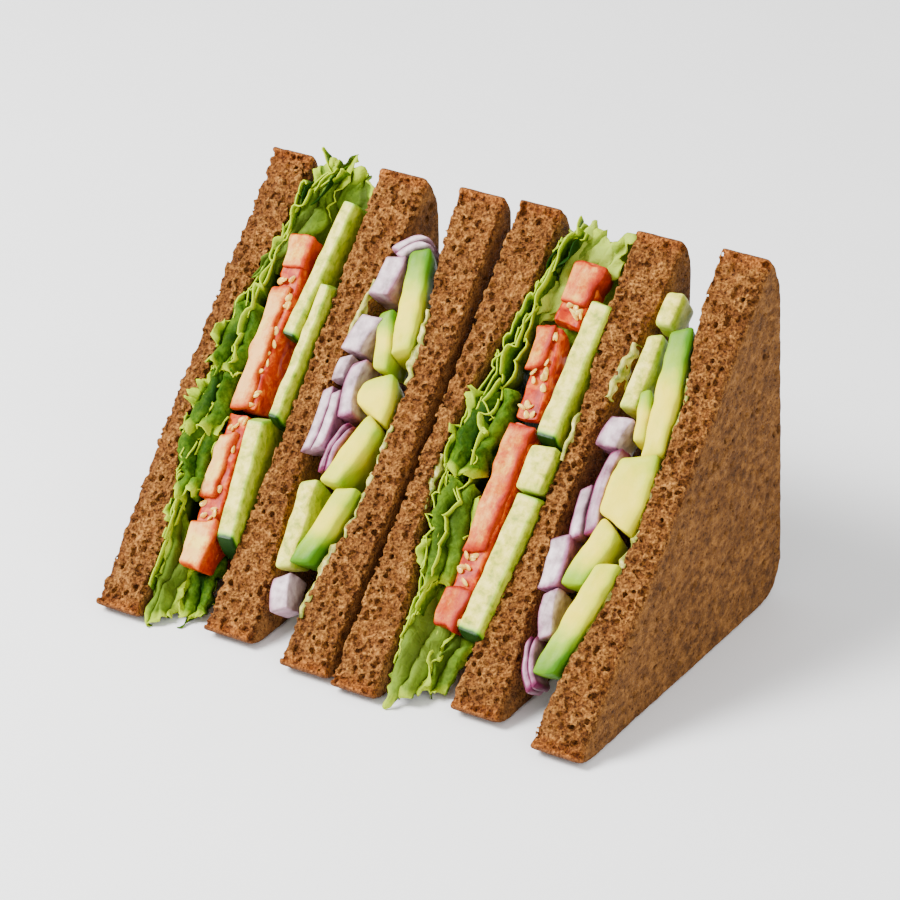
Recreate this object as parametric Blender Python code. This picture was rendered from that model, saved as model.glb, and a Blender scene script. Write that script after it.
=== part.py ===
"""Club sandwich of brown bread, cut corner to corner, its two halves stood side by side on their crusts.

Metres, +Z up. The slices of bread stand upright and are stacked along X. Each is half of a square with
rounded corners: one crust lies on the floor, the other stands upright at the back, and the long cut edge
slopes up between them and faces forward. The cut halves two of the rounded corners, so its ends are blunt.
The origin is on the floor, at the middle of the sandwich's footprint.

Fillings are placed in the frame of the cut face, an empty turned by 45 degrees at the cut's lower end: x
runs across the stack, y goes into the sandwich, and z climbs the cut.
"""

import math
from collections import Counter, namedtuple

import bmesh
import bpy
from mathutils import Matrix, Vector

CRUST = 0.111  # width of the square slices before they are cut
CORNER_RADIUS = 0.012  # the slices' rounded corners
BLUNT = CORNER_RADIUS * (1 - math.sqrt(0.5))  # the cut starts this far in from each crust
CUT = (CRUST - 2 * BLUNT) * math.sqrt(2)  # length of the sloping cut edge
GAP = 0.0004  # air left between neighbours
FLOOR_GAP = 0.0012  # the leaves end this far above the floor

# The fillings heap up under the middle of the cut, and press the bread thinner there. The dent reaches
# further along the cut where the avocado lies than where the tomato does.
TOMATO_DENT = 0.038
AVOCADO_DENT = 0.045
DENT_INTO = 0.050  # how far either dent reaches into the sandwich

# Thickness is at the crusts. Each face is pressed in by its own depth at the middle of the cut. The slice
# leans by its lean over the height of the cut, and swings by its fan from the cut to the far corner. Front
# and top say how far the two ends of its cut reach past where they would be. The top corner is rounded by a
# radius of its own. Space is the width of the filling up to the next slice.
Slice = namedtuple("Slice", "thickness left_press right_press front top top_radius lean fan space")
SLICES = (
    Slice(0.0152, -0.0008, 0.0072, 0.0006, -0.0026, 0.012, -0.0024, 0.0000, 0.0203),
    Slice(0.0164, 0.0008, 0.0050, -0.0035, -0.0006, 0.022, 0.0002, 0.0040, 0.0110),
    Slice(0.0160, 0.0060, -0.0008, 0.0012, -0.0002, 0.012, -0.0014, 0.0005, 0.0028),
    Slice(0.0148, 0.0000, 0.0074, 0.0032, 0.0006, 0.018, 0.0002, 0.0030, 0.0211),
    Slice(0.0158, 0.0038, 0.0042, -0.0034, 0.0004, 0.018, 0.0034, 0.0030, 0.0118),
    Slice(0.0162, 0.0064, -0.0008, 0.0026, 0.0016, 0.022, 0.0012, 0.0050, 0.0),
)

# Round slices, cut off flat at the cut face. Foot and head are the two ends of the edge that shows, each
# as (across the stack, up the cut).
Round = namedtuple("Round", "food foot head thickness radius")
ROUNDS = (
    Round("cucumber", (0.0288, 0.0905), (0.0318, 0.1335), 0.0044, 0.0219),
    Round("cucumber", (0.0344, 0.0660), (0.0347, 0.1080), 0.0040, 0.0222),
    Round("cucumber", (0.0335, 0.0285), (0.0301, 0.0640), 0.0042, 0.0212),
    Round("cucumber", (0.1166, 0.0822), (0.1184, 0.1235), 0.0056, 0.0219),
    Round("cucumber", (0.1162, 0.0235), (0.1172, 0.0650), 0.0058, 0.0219),
    Round("tomato", (0.0236, 0.0664), (0.0214, 0.1200), 0.0070, 0.0272),
    Round("tomato", (0.0266, 0.0190), (0.0232, 0.0650), 0.0072, 0.0238),
    Round("tomato", (0.1094, 0.1156), (0.1108, 0.1340), 0.0084, 0.0100),
    Round("tomato", (0.1086, 0.0860), (0.1060, 0.1140), 0.0070, 0.0142),
    Round("tomato", (0.1084, 0.0235), (0.1088, 0.0850), 0.0074, 0.0310),
)

# Slices of the same kinds that lie behind, by the crusts: across the stack, back and up, in the part's
# own directions.
BackRound = namedtuple("BackRound", "food across back up thickness radius")
BACK_ROUNDS = (
    BackRound("cucumber", 0.0320, 0.0900, 0.0205, 0.0044, 0.0165),
    BackRound("cucumber", 0.1172, 0.0890, 0.0215, 0.0050, 0.0170),
    BackRound("tomato", 0.0232, 0.0920, 0.0195, 0.0070, 0.0160),
    BackRound("tomato", 0.1094, 0.0932, 0.0188, 0.0070, 0.0160),
)

# Strips that run from the cut face into the sandwich. As it goes in, a strip drifts across the stack and
# climbs along the cut. It stands a little proud of the cut.
Strip = namedtuple("Strip", "food foot head thickness depth drift climb proud")
STRIPS = (
    Strip("avocado", (0.0648, 0.0955), (0.0592, 0.1245), 0.0056, 0.024, -0.0020, -0.004, 0.0010),
    Strip("avocado", (0.0604, 0.0888), (0.0560, 0.1050), 0.0042, 0.018, -0.0004, -0.001, 0.0004),
    Strip("avocado", (0.0632, 0.0750), (0.0618, 0.0856), 0.0076, 0.020, -0.0004, -0.002, 0.0014),
    Strip("avocado", (0.0586, 0.0530), (0.0648, 0.0730), 0.0052, 0.022, 0.0000, 0.000, 0.0008),
    Strip("avocado", (0.0596, 0.0285), (0.0654, 0.0520), 0.0054, 0.024, -0.0006, 0.001, 0.0020),
    Strip("avocado", (0.1486, 0.0860), (0.1440, 0.1215), 0.0056, 0.024, -0.0004, -0.002, 0.0008),
    Strip("avocado", (0.1430, 0.0890), (0.1400, 0.1030), 0.0032, 0.016, 0.0000, -0.002, 0.0002),
    Strip("avocado", (0.1456, 0.0648), (0.1458, 0.0840), 0.0094, 0.020, -0.0002, -0.001, 0.0016),
    Strip("avocado", (0.1398, 0.0450), (0.1446, 0.0632), 0.0056, 0.022, -0.0006, 0.000, 0.0010),
    Strip("avocado", (0.1418, 0.0192), (0.1484, 0.0520), 0.0056, 0.024, -0.0004, 0.001, 0.0022),
    Strip("onion", (0.0520, 0.1228), (0.0592, 0.1285), 0.0036, 0.014, 0.0006, -0.001, 0.0010),
    Strip("onion", (0.0506, 0.1098), (0.0532, 0.1205), 0.0046, 0.013, 0.0006, -0.001, 0.0006),
    Strip("onion", (0.0496, 0.0918), (0.0522, 0.1020), 0.0050, 0.012, 0.0004, 0.000, 0.0010),
    Strip("onion", (0.0480, 0.0826), (0.0488, 0.0890), 0.0030, 0.010, 0.0002, 0.000, 0.0004),
    Strip("onion", (0.0546, 0.0732), (0.0532, 0.0880), 0.0034, 0.016, 0.0002, 0.000, 0.0004),
    Strip("onion", (0.0500, 0.0606), (0.0494, 0.0780), 0.0046, 0.012, 0.0004, 0.001, 0.0008),
    Strip("onion", (0.0548, 0.0560), (0.0568, 0.0696), 0.0028, 0.014, 0.0000, 0.001, 0.0000),
    Strip("onion", (0.0584, 0.0140), (0.0560, 0.0228), 0.0044, 0.012, 0.0000, 0.001, 0.0012),
    Strip("onion", (0.1346, 0.0850), (0.1366, 0.0932), 0.0052, 0.014, 0.0000, 0.000, 0.0010),
    Strip("onion", (0.1386, 0.0610), (0.1376, 0.0830), 0.0028, 0.016, 0.0002, 0.001, 0.0006),
    Strip("onion", (0.1350, 0.0580), (0.1334, 0.0714), 0.0026, 0.012, 0.0002, 0.001, 0.0002),
    Strip("onion", (0.1336, 0.0428), (0.1322, 0.0560), 0.0046, 0.014, 0.0002, 0.001, 0.0008),
    Strip("onion", (0.1372, 0.0292), (0.1346, 0.0408), 0.0034, 0.013, 0.0002, 0.001, 0.0004),
    Strip("onion", (0.1392, 0.0140), (0.1344, 0.0262), 0.0028, 0.012, 0.0000, 0.001, 0.0014),
    Strip("cucumber", (0.0545, 0.0256), (0.0524, 0.0520), 0.0048, 0.014, 0.0000, 0.001, 0.0004),
    Strip("cucumber", (0.1376, 0.1220), (0.1382, 0.1322), 0.0044, 0.012, 0.0002, -0.001, 0.0004),
    Strip("cucumber", (0.1364, 0.0968), (0.1370, 0.1190), 0.0044, 0.016, 0.0002, -0.001, 0.0006),
    Strip("cucumber", (0.1174, 0.0666), (0.1178, 0.0800), 0.0074, 0.014, 0.0000, 0.000, 0.0012),
)

# Further strips behind, which show from the crusts. They run straight back, in the part's own directions.
BackStrip = namedtuple("BackStrip", "food across back up thickness length")
BACK_STRIPS = (
    BackStrip("avocado", 0.0604, 0.0810, 0.0240, 0.0046, 0.034),
    BackStrip("avocado", 0.1442, 0.0810, 0.0240, 0.0050, 0.034),
    BackStrip("onion", 0.0556, 0.0860, 0.0230, 0.0030, 0.028),
    BackStrip("onion", 0.1392, 0.0860, 0.0230, 0.0032, 0.028),
)
BACK_STRIP_DEPTH = 0.022

# A heap of leaves against the right of a slice. It stops at the tomato, spreads over it at the top, and
# spreads over the cucumber too above that.
Leaves = namedtuple("Leaves", "slice_index at_tomato at_cucumber at_bread")
LEAVES = (
    Leaves(0, 0.0172, 0.0262, 0.0342),
    Leaves(3, 0.1010, 0.1048, 0.1168),
)
ABOVE_TOMATO = (0.0920, 0.0960)
ABOVE_CUCUMBER = (0.0982, 0.1026)
FRILL = 0.0016  # how far the leaves' ragged edges and folds stand out
FRILL_LENGTH = 0.0115
THINNEST_LEAF = 0.0012

BREAD_GRID = 10
LEAF_GRID = 20
MARGIN = 0.012  # a slab is made this much too large all round, then cut to its outline

MATERIALS = {
    "bread": ((0.36, 0.17, 0.065), 0.9),
    "lettuce": ((0.20, 0.42, 0.03), 0.45),
    "tomato": ((0.72, 0.16, 0.08), 0.25),
    "cucumber": ((0.66, 0.76, 0.42), 0.3),
    "avocado": ((0.78, 0.78, 0.28), 0.4),
    "onion": ((0.55, 0.38, 0.50), 0.3),
}


def clear_scene():
    for obj in list(bpy.data.objects):
        bpy.data.objects.remove(obj)


def make_collection(name):
    collection = bpy.data.collections.new(name)
    bpy.context.scene.collection.children.link(collection)
    return collection


def make_material(food):
    colour, roughness = MATERIALS[food]
    material = bpy.data.materials.new(food)
    material.use_nodes = True
    shader = material.node_tree.nodes["Principled BSDF"]
    shader.inputs["Base Color"].default_value = (*colour, 1)
    shader.inputs["Roughness"].default_value = roughness
    shader.inputs["Metallic"].default_value = 0
    return material


def make_empty(name, collection, parent=None):
    empty = bpy.data.objects.new(name, None)
    empty.parent = parent
    collection.objects.link(empty)
    return empty


def make_object(name, bm, collection, parent, food=None):
    """Turns the bmesh into an object with outward faces, in its food's material."""
    bmesh.ops.recalc_face_normals(bm, faces=bm.faces)
    mesh = bpy.data.meshes.new(name)
    bm.to_mesh(mesh)
    bm.free()
    mesh.shade_smooth()
    mesh.set_sharp_from_angle(angle=math.radians(35))
    if food:
        mesh.materials.append(make_material(food))
    obj = bpy.data.objects.new(name, mesh)
    obj.parent = parent
    collection.objects.link(obj)
    return obj


def add_boolean(obj, operation, cutter):
    modifier = obj.modifiers.new(cutter.name, "BOOLEAN")
    modifier.operation = operation
    modifier.solver = "EXACT"
    modifier.object = cutter


def hide_cutter(obj):
    obj.hide_render = True
    obj.display_type = "WIRE"


def along_cut(back, up):
    """How far up the cut a place on a slice is, from the cut's middle."""
    return (back + up - CRUST) / math.sqrt(2)


def from_cut(back, up):
    """How far into the sandwich a place on a slice is."""
    return (back - up) / math.sqrt(2)


def pressed(back, up, dent):
    """How much of its full depth a dent has at a place on a slice, from 0 to 1."""
    return math.exp(-((along_cut(back, up) / dent) ** 4) - (from_cut(back, up) / DENT_INTO) ** 2)


def bread_faces(index):
    """The left and right faces of a slice, each a function that gives its place across the stack."""
    bread = SLICES[index]
    start = sum(before.thickness + before.space for before in SLICES[:index])
    left_dent, right_dent = (TOMATO_DENT, AVOCADO_DENT)[:: 1 if index % 3 == 1 else -1]

    def tilted(back, up):
        return start + bread.lean * along_cut(back, up) / CUT + bread.fan * from_cut(back, up) / (CUT / 2)

    def left(back, up):
        return tilted(back, up) + bread.left_press * pressed(back, up, left_dent)

    def right(back, up):
        return tilted(back, up) + bread.thickness - bread.right_press * pressed(back, up, right_dent)

    return left, right


def arc(centre, radius, start, end):
    """Points round a crust's corner, from one direction to another in degrees."""
    steps = round((end - start) / 13)
    turns = [math.radians(start + (end - start) * i / steps) for i in range(steps + 1)]
    return [centre + Vector((math.cos(turn), math.sin(turn))) * radius for turn in turns]


def bread_outline(bread):
    """A slice seen from the side, as (back, up): two crusts at right angles and the sloping cut."""
    diagonal = Vector((1, 1)).normalized()
    front_tip = Vector((BLUNT - bread.front, BLUNT))
    top_tip = Vector((CRUST - BLUNT, CRUST - BLUNT + bread.top))
    front_centre = front_tip + diagonal * CORNER_RADIUS
    top_centre = top_tip - diagonal * bread.top_radius
    back_centre = Vector((top_centre.x + bread.top_radius - CORNER_RADIUS, CORNER_RADIUS))
    return (
        arc(front_centre, CORNER_RADIUS, 225, 270)
        + arc(back_centre, CORNER_RADIUS, 270, 360)
        + arc(top_centre, bread.top_radius, 0, 45)
    )


def leaf_outline():
    """The leaves seen from the side, ragged along the cut and along the upright crust."""
    inset = 0.004
    points_a_frill = 4
    corners = [Vector((inset, FLOOR_GAP)), Vector((CRUST, FLOOR_GAP)), Vector((CRUST, CRUST - inset))]
    points = [corners[0]]
    for i in (1, 2):
        corner = corners[i]
        side = corners[(i + 1) % 3] - corner
        outward = Vector((side.y, -side.x)).normalized()
        frills = round(side.length / FRILL_LENGTH)
        steps = frills * points_a_frill
        for k in range(steps):
            share = k / steps
            ragged = 0.4 + math.sin(2 * math.pi * frills * share)
            points.append(corner + side * share + outward * FRILL * ragged * math.sin(math.pi * share))
    return points


def outline_prism(name, outline, cutters, parent):
    """A cutter: the outline, standing in the YZ plane, drawn out across the stack."""
    curve = bpy.data.curves.new(name, "CURVE")
    curve.dimensions = "2D"
    curve.fill_mode = "BOTH"
    curve.extrude = 2 * CRUST
    spline = curve.splines.new("POLY")
    spline.points.add(len(outline) - 1)
    for point, place in zip(spline.points, outline):
        point.co = (place.x, place.y, 0, 1)
    spline.use_cyclic_u = True
    drawn = bpy.data.objects.new(name, curve)
    cutters.objects.link(drawn)
    bpy.context.view_layer.update()
    mesh = bpy.data.meshes.new_from_object(drawn.evaluated_get(bpy.context.evaluated_depsgraph_get()))
    bpy.data.objects.remove(drawn)
    bm = bmesh.new()
    bm.from_mesh(mesh)
    bpy.data.meshes.remove(mesh)
    bmesh.ops.remove_doubles(bm, verts=bm.verts, dist=0.00001)
    # The curve lies in XY and is drawn out along Z: turn it so that its plane is YZ.
    turn = Matrix(((0, 0, 1), (1, 0, 0), (0, 1, 0))).to_4x4()
    bmesh.ops.transform(bm, matrix=turn, verts=bm.verts)
    prism = make_object(name, bm, cutters, parent)
    hide_cutter(prism)
    return prism


def make_slab(name, left, right, grid, collection, parent, food=None):
    """A sheet between two faces, each a function of (back, up)."""
    bm = bmesh.new()
    bmesh.ops.create_cube(bm, size=1)
    around = [e for e in bm.edges if abs(e.verts[0].co.x - e.verts[1].co.x) < 0.5]
    bmesh.ops.subdivide_edges(bm, edges=around, cuts=grid, use_grid_fill=True)
    for vertex in bm.verts:
        back = (vertex.co.y + 0.5) * (CRUST + 2 * MARGIN) - MARGIN
        up = (vertex.co.z + 0.5) * (CRUST + 2 * MARGIN) - MARGIN
        face = left if vertex.co.x < 0 else right
        vertex.co = (face(back, up), back, up)
    bmesh.ops.triangulate(bm, faces=bm.faces)
    return make_object(name, bm, collection, parent, food)


def make_bread(parts, cutters, root):
    for i, bread in enumerate(SLICES):
        name = f"bread_{i + 1}"
        obj = make_slab(name, *bread_faces(i), BREAD_GRID, parts, root, "bread")
        outline = outline_prism(f"{name}_outline", bread_outline(bread), cutters, root)
        add_boolean(obj, "INTERSECT", outline)


def make_rooms(cutters, root):
    """Cutters shaped like the slices of bread, but thicker by the gap: fillings are pressed flat on them."""
    rooms = []
    for i in range(len(SLICES)):
        left, right = bread_faces(i)
        wide_left = lambda back, up, face=left: face(back, up) - GAP
        wide_right = lambda back, up, face=right: face(back, up) + GAP
        room = make_slab(f"bread_{i + 1}_room", wide_left, wide_right, BREAD_GRID, cutters, root)
        hide_cutter(room)
        rooms.append(room)
    return rooms


def keep_off_bread(obj, across, rooms):
    """Cuts a filling back from the slice on either side of it."""
    middles = [sum(face(0, 0) for face in bread_faces(i)) / 2 for i in range(len(SLICES))]
    to_its_left = sum(middle < across for middle in middles)
    for room in rooms[to_its_left - 1 : to_its_left + 1]:
        add_boolean(obj, "DIFFERENCE", room)


def step_up(value, low, high):
    """Rises smoothly from 0 at low to 1 at high."""
    share = min(1.0, max(0.0, (value - low) / (high - low)))
    return share * share * (3 - 2 * share)


def make_leaves(parts, cutters, root, rooms):
    for number, leaves in enumerate(LEAVES, start=1):
        _, bread = bread_faces(leaves.slice_index)

        def left(back, up, bread=bread):
            return bread(back, up) - THINNEST_LEAF

        def right(back, up, leaves=leaves, bread=bread):
            over_tomato = (leaves.at_cucumber - leaves.at_tomato) * step_up(up, *ABOVE_TOMATO)
            over_cucumber = (leaves.at_bread - leaves.at_cucumber) * step_up(up, *ABOVE_CUCUMBER)
            fold = FRILL / 2 * (math.sin(2 * math.pi * along_cut(back, up) / (2 * FRILL_LENGTH)) - 1)
            thick = leaves.at_tomato + over_tomato + over_cucumber + fold
            return max(thick, bread(back, up) + THINNEST_LEAF)

        name = f"lettuce_{number}"
        obj = make_slab(name, left, right, LEAF_GRID, parts, root, "lettuce")
        add_boolean(obj, "INTERSECT", outline_prism(f"{name}_outline", leaf_outline(), cutters, root))
        keep_off_bread(obj, leaves.at_tomato, rooms)


def make_round(name, food, thickness, radius, sunk, parts, parent):
    """A round slice whose flat sides face along X. Its rim is cut off flat, sunk before its centre."""
    bm = bmesh.new()
    bmesh.ops.create_cone(bm, segments=32, radius1=radius, radius2=radius, depth=thickness, cap_ends=True)
    bmesh.ops.rotate(bm, verts=bm.verts, matrix=Matrix.Rotation(math.pi / 2, 3, "Y"))
    if sunk < radius:
        everything = bm.verts[:] + bm.edges[:] + bm.faces[:]
        bmesh.ops.bisect_plane(
            bm, geom=everything, plane_co=(0, -sunk, 0), plane_no=(0, -1, 0), clear_outer=True
        )
        bmesh.ops.holes_fill(bm, edges=[e for e in bm.edges if e.is_boundary])
    return make_object(name, bm, parts, parent, food)


def make_strip(name, food, thickness, length, depth, drift, climb, parts, parent):
    """A strip with a rounded oblong section that runs along Y, and drifts, climbs and narrows as it goes."""
    squareness = 0.55  # 1 gives an oval section, 0 a sharp oblong
    taper = 0.3 if food == "avocado" else 0.15
    bm = bmesh.new()
    bmesh.ops.create_cone(bm, segments=12, radius1=1, radius2=1, depth=1, cap_ends=True)
    bmesh.ops.rotate(bm, verts=bm.verts, matrix=Matrix.Rotation(math.pi / 2, 3, "X"))
    lengthwise = [e for e in bm.edges if abs(e.verts[0].co.y - e.verts[1].co.y) > 0.5]
    bmesh.ops.subdivide_edges(bm, edges=lengthwise, cuts=2)
    for vertex in bm.verts:
        share = vertex.co.y + 0.5
        angle = math.atan2(vertex.co.z, vertex.co.x)
        side = math.copysign(abs(math.cos(angle)) ** squareness, math.cos(angle))
        end = math.copysign(abs(math.sin(angle)) ** squareness, math.sin(angle))
        size = 1 - taper * share**2
        vertex.co.x = thickness / 2 * side * size + drift * share
        vertex.co.y = depth * share
        vertex.co.z = length / 2 * end * size + climb * share
    return make_object(name, bm, parts, parent, food)


def place_on_cut(obj, foot, head, inward):
    """Puts the piece's middle between foot and head, and leans it along the line that joins them."""
    line = Vector(head) - Vector(foot)
    middle = (Vector(foot) + Vector(head)) / 2
    obj.location = (middle.x, inward, middle.y)
    obj.rotation_euler = (0, math.atan2(line.x, line.y), 0)


def make_fillings(parts, root, cut_face, rooms):
    """Every separate piece of filling, numbered within its food."""
    count = Counter()

    def next_name(food):
        count[food] += 1
        return f"{food}_{count[food]}"

    for row in ROUNDS:
        half_shown = math.dist(row.foot, row.head) / 2
        sunk = math.sqrt(row.radius**2 - half_shown**2)
        obj = make_round(next_name(row.food), row.food, row.thickness, row.radius, sunk, parts, cut_face)
        place_on_cut(obj, row.foot, row.head, sunk)
        keep_off_bread(obj, row.foot[0], rooms)

    for row in BACK_ROUNDS:
        name = next_name(row.food)
        obj = make_round(name, row.food, row.thickness, row.radius, row.radius, parts, root)
        obj.location = (row.across, row.back, row.up)
        keep_off_bread(obj, row.across, rooms)

    for row in STRIPS:
        name = next_name(row.food)
        length = math.dist(row.foot, row.head)
        sizes = (row.thickness, length, row.depth, row.drift, row.climb)
        obj = make_strip(name, row.food, *sizes, parts, cut_face)
        place_on_cut(obj, row.foot, row.head, -row.proud)
        keep_off_bread(obj, row.foot[0], rooms)

    for row in BACK_STRIPS:
        name = next_name(row.food)
        sizes = (row.thickness, row.length, BACK_STRIP_DEPTH, 0, 0)
        obj = make_strip(name, row.food, *sizes, parts, root)
        obj.location = (row.across, row.back, row.up)
        keep_off_bread(obj, row.across, rooms)


def stand_on_origin(root, parts):
    """Moves the sandwich so that the middle of its footprint is at the origin and it stands on the floor."""
    bpy.context.view_layer.update()
    graph = bpy.context.evaluated_depsgraph_get()
    corners = []
    for obj in parts.objects:
        if obj.type == "MESH":
            found = obj.evaluated_get(graph)
            corners += [found.matrix_world @ v.co for v in found.data.vertices]
    low = [min(c[i] for c in corners) for i in range(3)]
    high = [max(c[i] for c in corners) for i in range(3)]
    root.location = (-(low[0] + high[0]) / 2, -(low[1] + high[1]) / 2, -low[2])


def main():
    clear_scene()
    parts = make_collection("club_sandwich")
    cutters = make_collection("cutters")
    root = make_empty("sandwich", parts)
    cut_face = make_empty("cut_face", parts, root)
    cut_face.location = (0, BLUNT, BLUNT)
    cut_face.rotation_euler = (math.radians(-45), 0, 0)

    rooms = make_rooms(cutters, root)
    make_bread(parts, cutters, root)
    make_leaves(parts, cutters, root, rooms)
    make_fillings(parts, root, cut_face, rooms)
    stand_on_origin(root, parts)


main()
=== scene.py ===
"""The looks of a club sandwich: two halves of three slices each, cut corner to corner.

Shapes are worked out in millimetres and turned into metres when a mesh is made. Two sets of axes are used.
The row frame is (x, y, z). The cut frame is (x, d, h): x runs across the stack, d goes into the sandwich at
right angles to the cut face, and h climbs the cut from its lower end to its upper one.
"""

import math
from collections import namedtuple

import bpy
import numpy as np
import openvdb
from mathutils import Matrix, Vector
from mathutils.bvhtree import BVHTree


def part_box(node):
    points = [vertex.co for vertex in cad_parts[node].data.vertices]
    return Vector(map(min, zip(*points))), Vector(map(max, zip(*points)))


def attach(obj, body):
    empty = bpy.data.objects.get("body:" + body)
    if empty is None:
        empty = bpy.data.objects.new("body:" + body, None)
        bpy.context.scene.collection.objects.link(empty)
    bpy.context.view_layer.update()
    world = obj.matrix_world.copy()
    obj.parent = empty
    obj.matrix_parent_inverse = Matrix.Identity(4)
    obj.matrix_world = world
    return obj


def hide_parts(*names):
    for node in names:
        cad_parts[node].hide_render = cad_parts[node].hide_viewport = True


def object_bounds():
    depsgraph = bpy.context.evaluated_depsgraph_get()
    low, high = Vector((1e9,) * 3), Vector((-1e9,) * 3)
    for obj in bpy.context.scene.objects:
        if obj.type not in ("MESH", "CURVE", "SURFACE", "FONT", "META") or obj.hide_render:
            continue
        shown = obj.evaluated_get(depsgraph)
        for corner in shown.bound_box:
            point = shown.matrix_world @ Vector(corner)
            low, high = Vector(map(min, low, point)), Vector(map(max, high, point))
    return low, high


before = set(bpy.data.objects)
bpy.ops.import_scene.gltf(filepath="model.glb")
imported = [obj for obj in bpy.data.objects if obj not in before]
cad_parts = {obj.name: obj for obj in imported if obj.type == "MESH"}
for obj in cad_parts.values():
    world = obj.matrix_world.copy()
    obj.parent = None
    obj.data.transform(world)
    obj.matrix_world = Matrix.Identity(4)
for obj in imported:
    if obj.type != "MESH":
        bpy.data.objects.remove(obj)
CAD_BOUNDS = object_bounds()

MM = 0.001
ROOT2 = math.sqrt(2)
CRUST = 111.0  # width of the bread's slices before they were cut
CORNER = 12.0  # their rounded corners
BLUNT = CORNER * (1 - 1 / ROOT2)  # the cut starts this far in from each crust
CUT = (CRUST - 2 * BLUNT) * ROOT2
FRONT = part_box("bread_1")[1].y / MM - CRUST  # y of the front crust
SLICES = [f"bread_{i}" for i in range(1, 7)]

ACROSS = np.array([1.0, 0.0, 0.0])
INWARD = np.array([0.0, 1.0, -1.0]) / ROOT2
UPWARD = np.array([0.0, 1.0, 1.0]) / ROOT2
CUT_ORIGIN = np.array([0.0, FRONT + BLUNT, BLUNT])


# ---- points and noise


def to_cut(points):
    """Points of the row frame, in mm, as (x, d, h)."""
    return (points - CUT_ORIGIN) @ np.stack([ACROSS, INWARD, UPWARD], axis=1)


def from_cut(points):
    """The reverse of to_cut."""
    return points @ np.stack([ACROSS, INWARD, UPWARD]) + CUT_ORIGIN


NOISE_TABLE = np.random.default_rng(7).uniform(-1, 1, (32, 32, 32)).astype(np.float32)


def noise(points, cell, seed=0):
    """Smooth noise from -1 to 1 at each point, with features of about the cell's size."""
    scaled = points / cell + np.array([11.3, 5.7, 3.1]) * seed
    whole = np.floor(scaled).astype(int)
    share = scaled - whole
    share = share * share * (3 - 2 * share)
    total = np.zeros(len(points), np.float32)
    for corner in np.ndindex(2, 2, 2):
        weight = np.ones(len(points), np.float32)
        for axis in range(3):
            weight *= share[:, axis] if corner[axis] else 1 - share[:, axis]
        i, j, k = ((whole + corner) % 32).T
        total += weight * NOISE_TABLE[i, j, k]
    return total


def wander(values, cell, seed):
    """The same noise along a line."""
    values = np.asarray(values, float)
    line = np.stack([values, np.full_like(values, 3.3), np.full_like(values, 7.7)], axis=-1)
    return noise(line.reshape(-1, 3), cell, seed).reshape(values.shape)


def unevenness(points, cell, amount, seed):
    """A small push in three directions for each point."""
    return amount * np.stack([noise(points, cell, seed + i) for i in range(3)], axis=1)


def smooth_step(value, low, high):
    share = np.clip((value - low) / (high - low), 0, 1)
    return share * share * (3 - 2 * share)


# ---- meshes


def mesh_object(name, points, faces, material, values=None):
    """A smooth mesh object from points in mm, in the row frame. Faces are index arrays of 3 or 4 columns."""
    mesh = bpy.data.meshes.new(name)
    groups = [np.asarray(group, np.int32) for group in faces if len(group)]
    corners = np.concatenate([group.ravel() for group in groups])
    sizes = np.concatenate([np.full(len(group), group.shape[1], np.int32) for group in groups])
    starts = np.concatenate([[0], np.cumsum(sizes)[:-1]]).astype(np.int32)
    mesh.vertices.add(len(points))
    mesh.vertices.foreach_set("co", (np.asarray(points) * MM).astype(np.float32).ravel())
    mesh.loops.add(len(corners))
    mesh.loops.foreach_set("vertex_index", corners)
    mesh.polygons.add(len(sizes))
    mesh.polygons.foreach_set("loop_start", starts)
    mesh.update(calc_edges=True)
    mesh.polygons.foreach_set("use_smooth", np.ones(len(sizes), bool))
    for key, amounts in (values or {}).items():
        layer = mesh.attributes.new(key, "FLOAT", "POINT")
        layer.data.foreach_set("value", np.asarray(amounts, np.float32))
    mesh.materials.append(material)
    obj = bpy.data.objects.new(name, mesh)
    bpy.context.scene.collection.objects.link(obj)
    return obj


class Batch:
    """Closed shells gathered into one mesh."""

    def __init__(self):
        self.points = []
        self.faces = {3: [], 4: []}
        self.values = {}
        self.count = 0

    def add(self, points, *faces, **values):
        for group in faces:
            if len(group):
                self.faces[group.shape[1]].append(group + self.count)
        for key, amounts in values.items():
            self.values.setdefault(key, []).append(amounts)
        self.points.append(points)
        self.count += len(points)

    def make(self, name, material, slot, *nodes):
        faces = [np.concatenate(groups) for groups in self.faces.values() if groups]
        values = {key: np.concatenate(amounts) for key, amounts in self.values.items()}
        obj = mesh_object(name, np.concatenate(self.points), faces, material, values)
        hand_in(obj, slot, *nodes)


def hand_in(obj, slot, *nodes):
    """Sets the piece on the root body and hides the CAD nodes that it stands for. The slot is not used."""
    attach(obj, "root")
    if nodes:
        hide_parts(*nodes)


def node_mesh(name):
    """A CAD node's points, in mm, and its triangles, with points at one place made one."""
    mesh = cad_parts[name].data
    mesh.calc_loop_triangles()
    points = np.empty(len(mesh.vertices) * 3, np.float32)
    mesh.vertices.foreach_get("co", points)
    triangles = np.empty(len(mesh.loop_triangles) * 3, np.int32)
    mesh.loop_triangles.foreach_get("vertices", triangles)
    points, index = np.unique(np.round(points.reshape(-1, 3) / MM, 3), axis=0, return_inverse=True)
    return points.astype(np.float32), index.reshape(-1)[triangles.reshape(-1, 3)]


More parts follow.
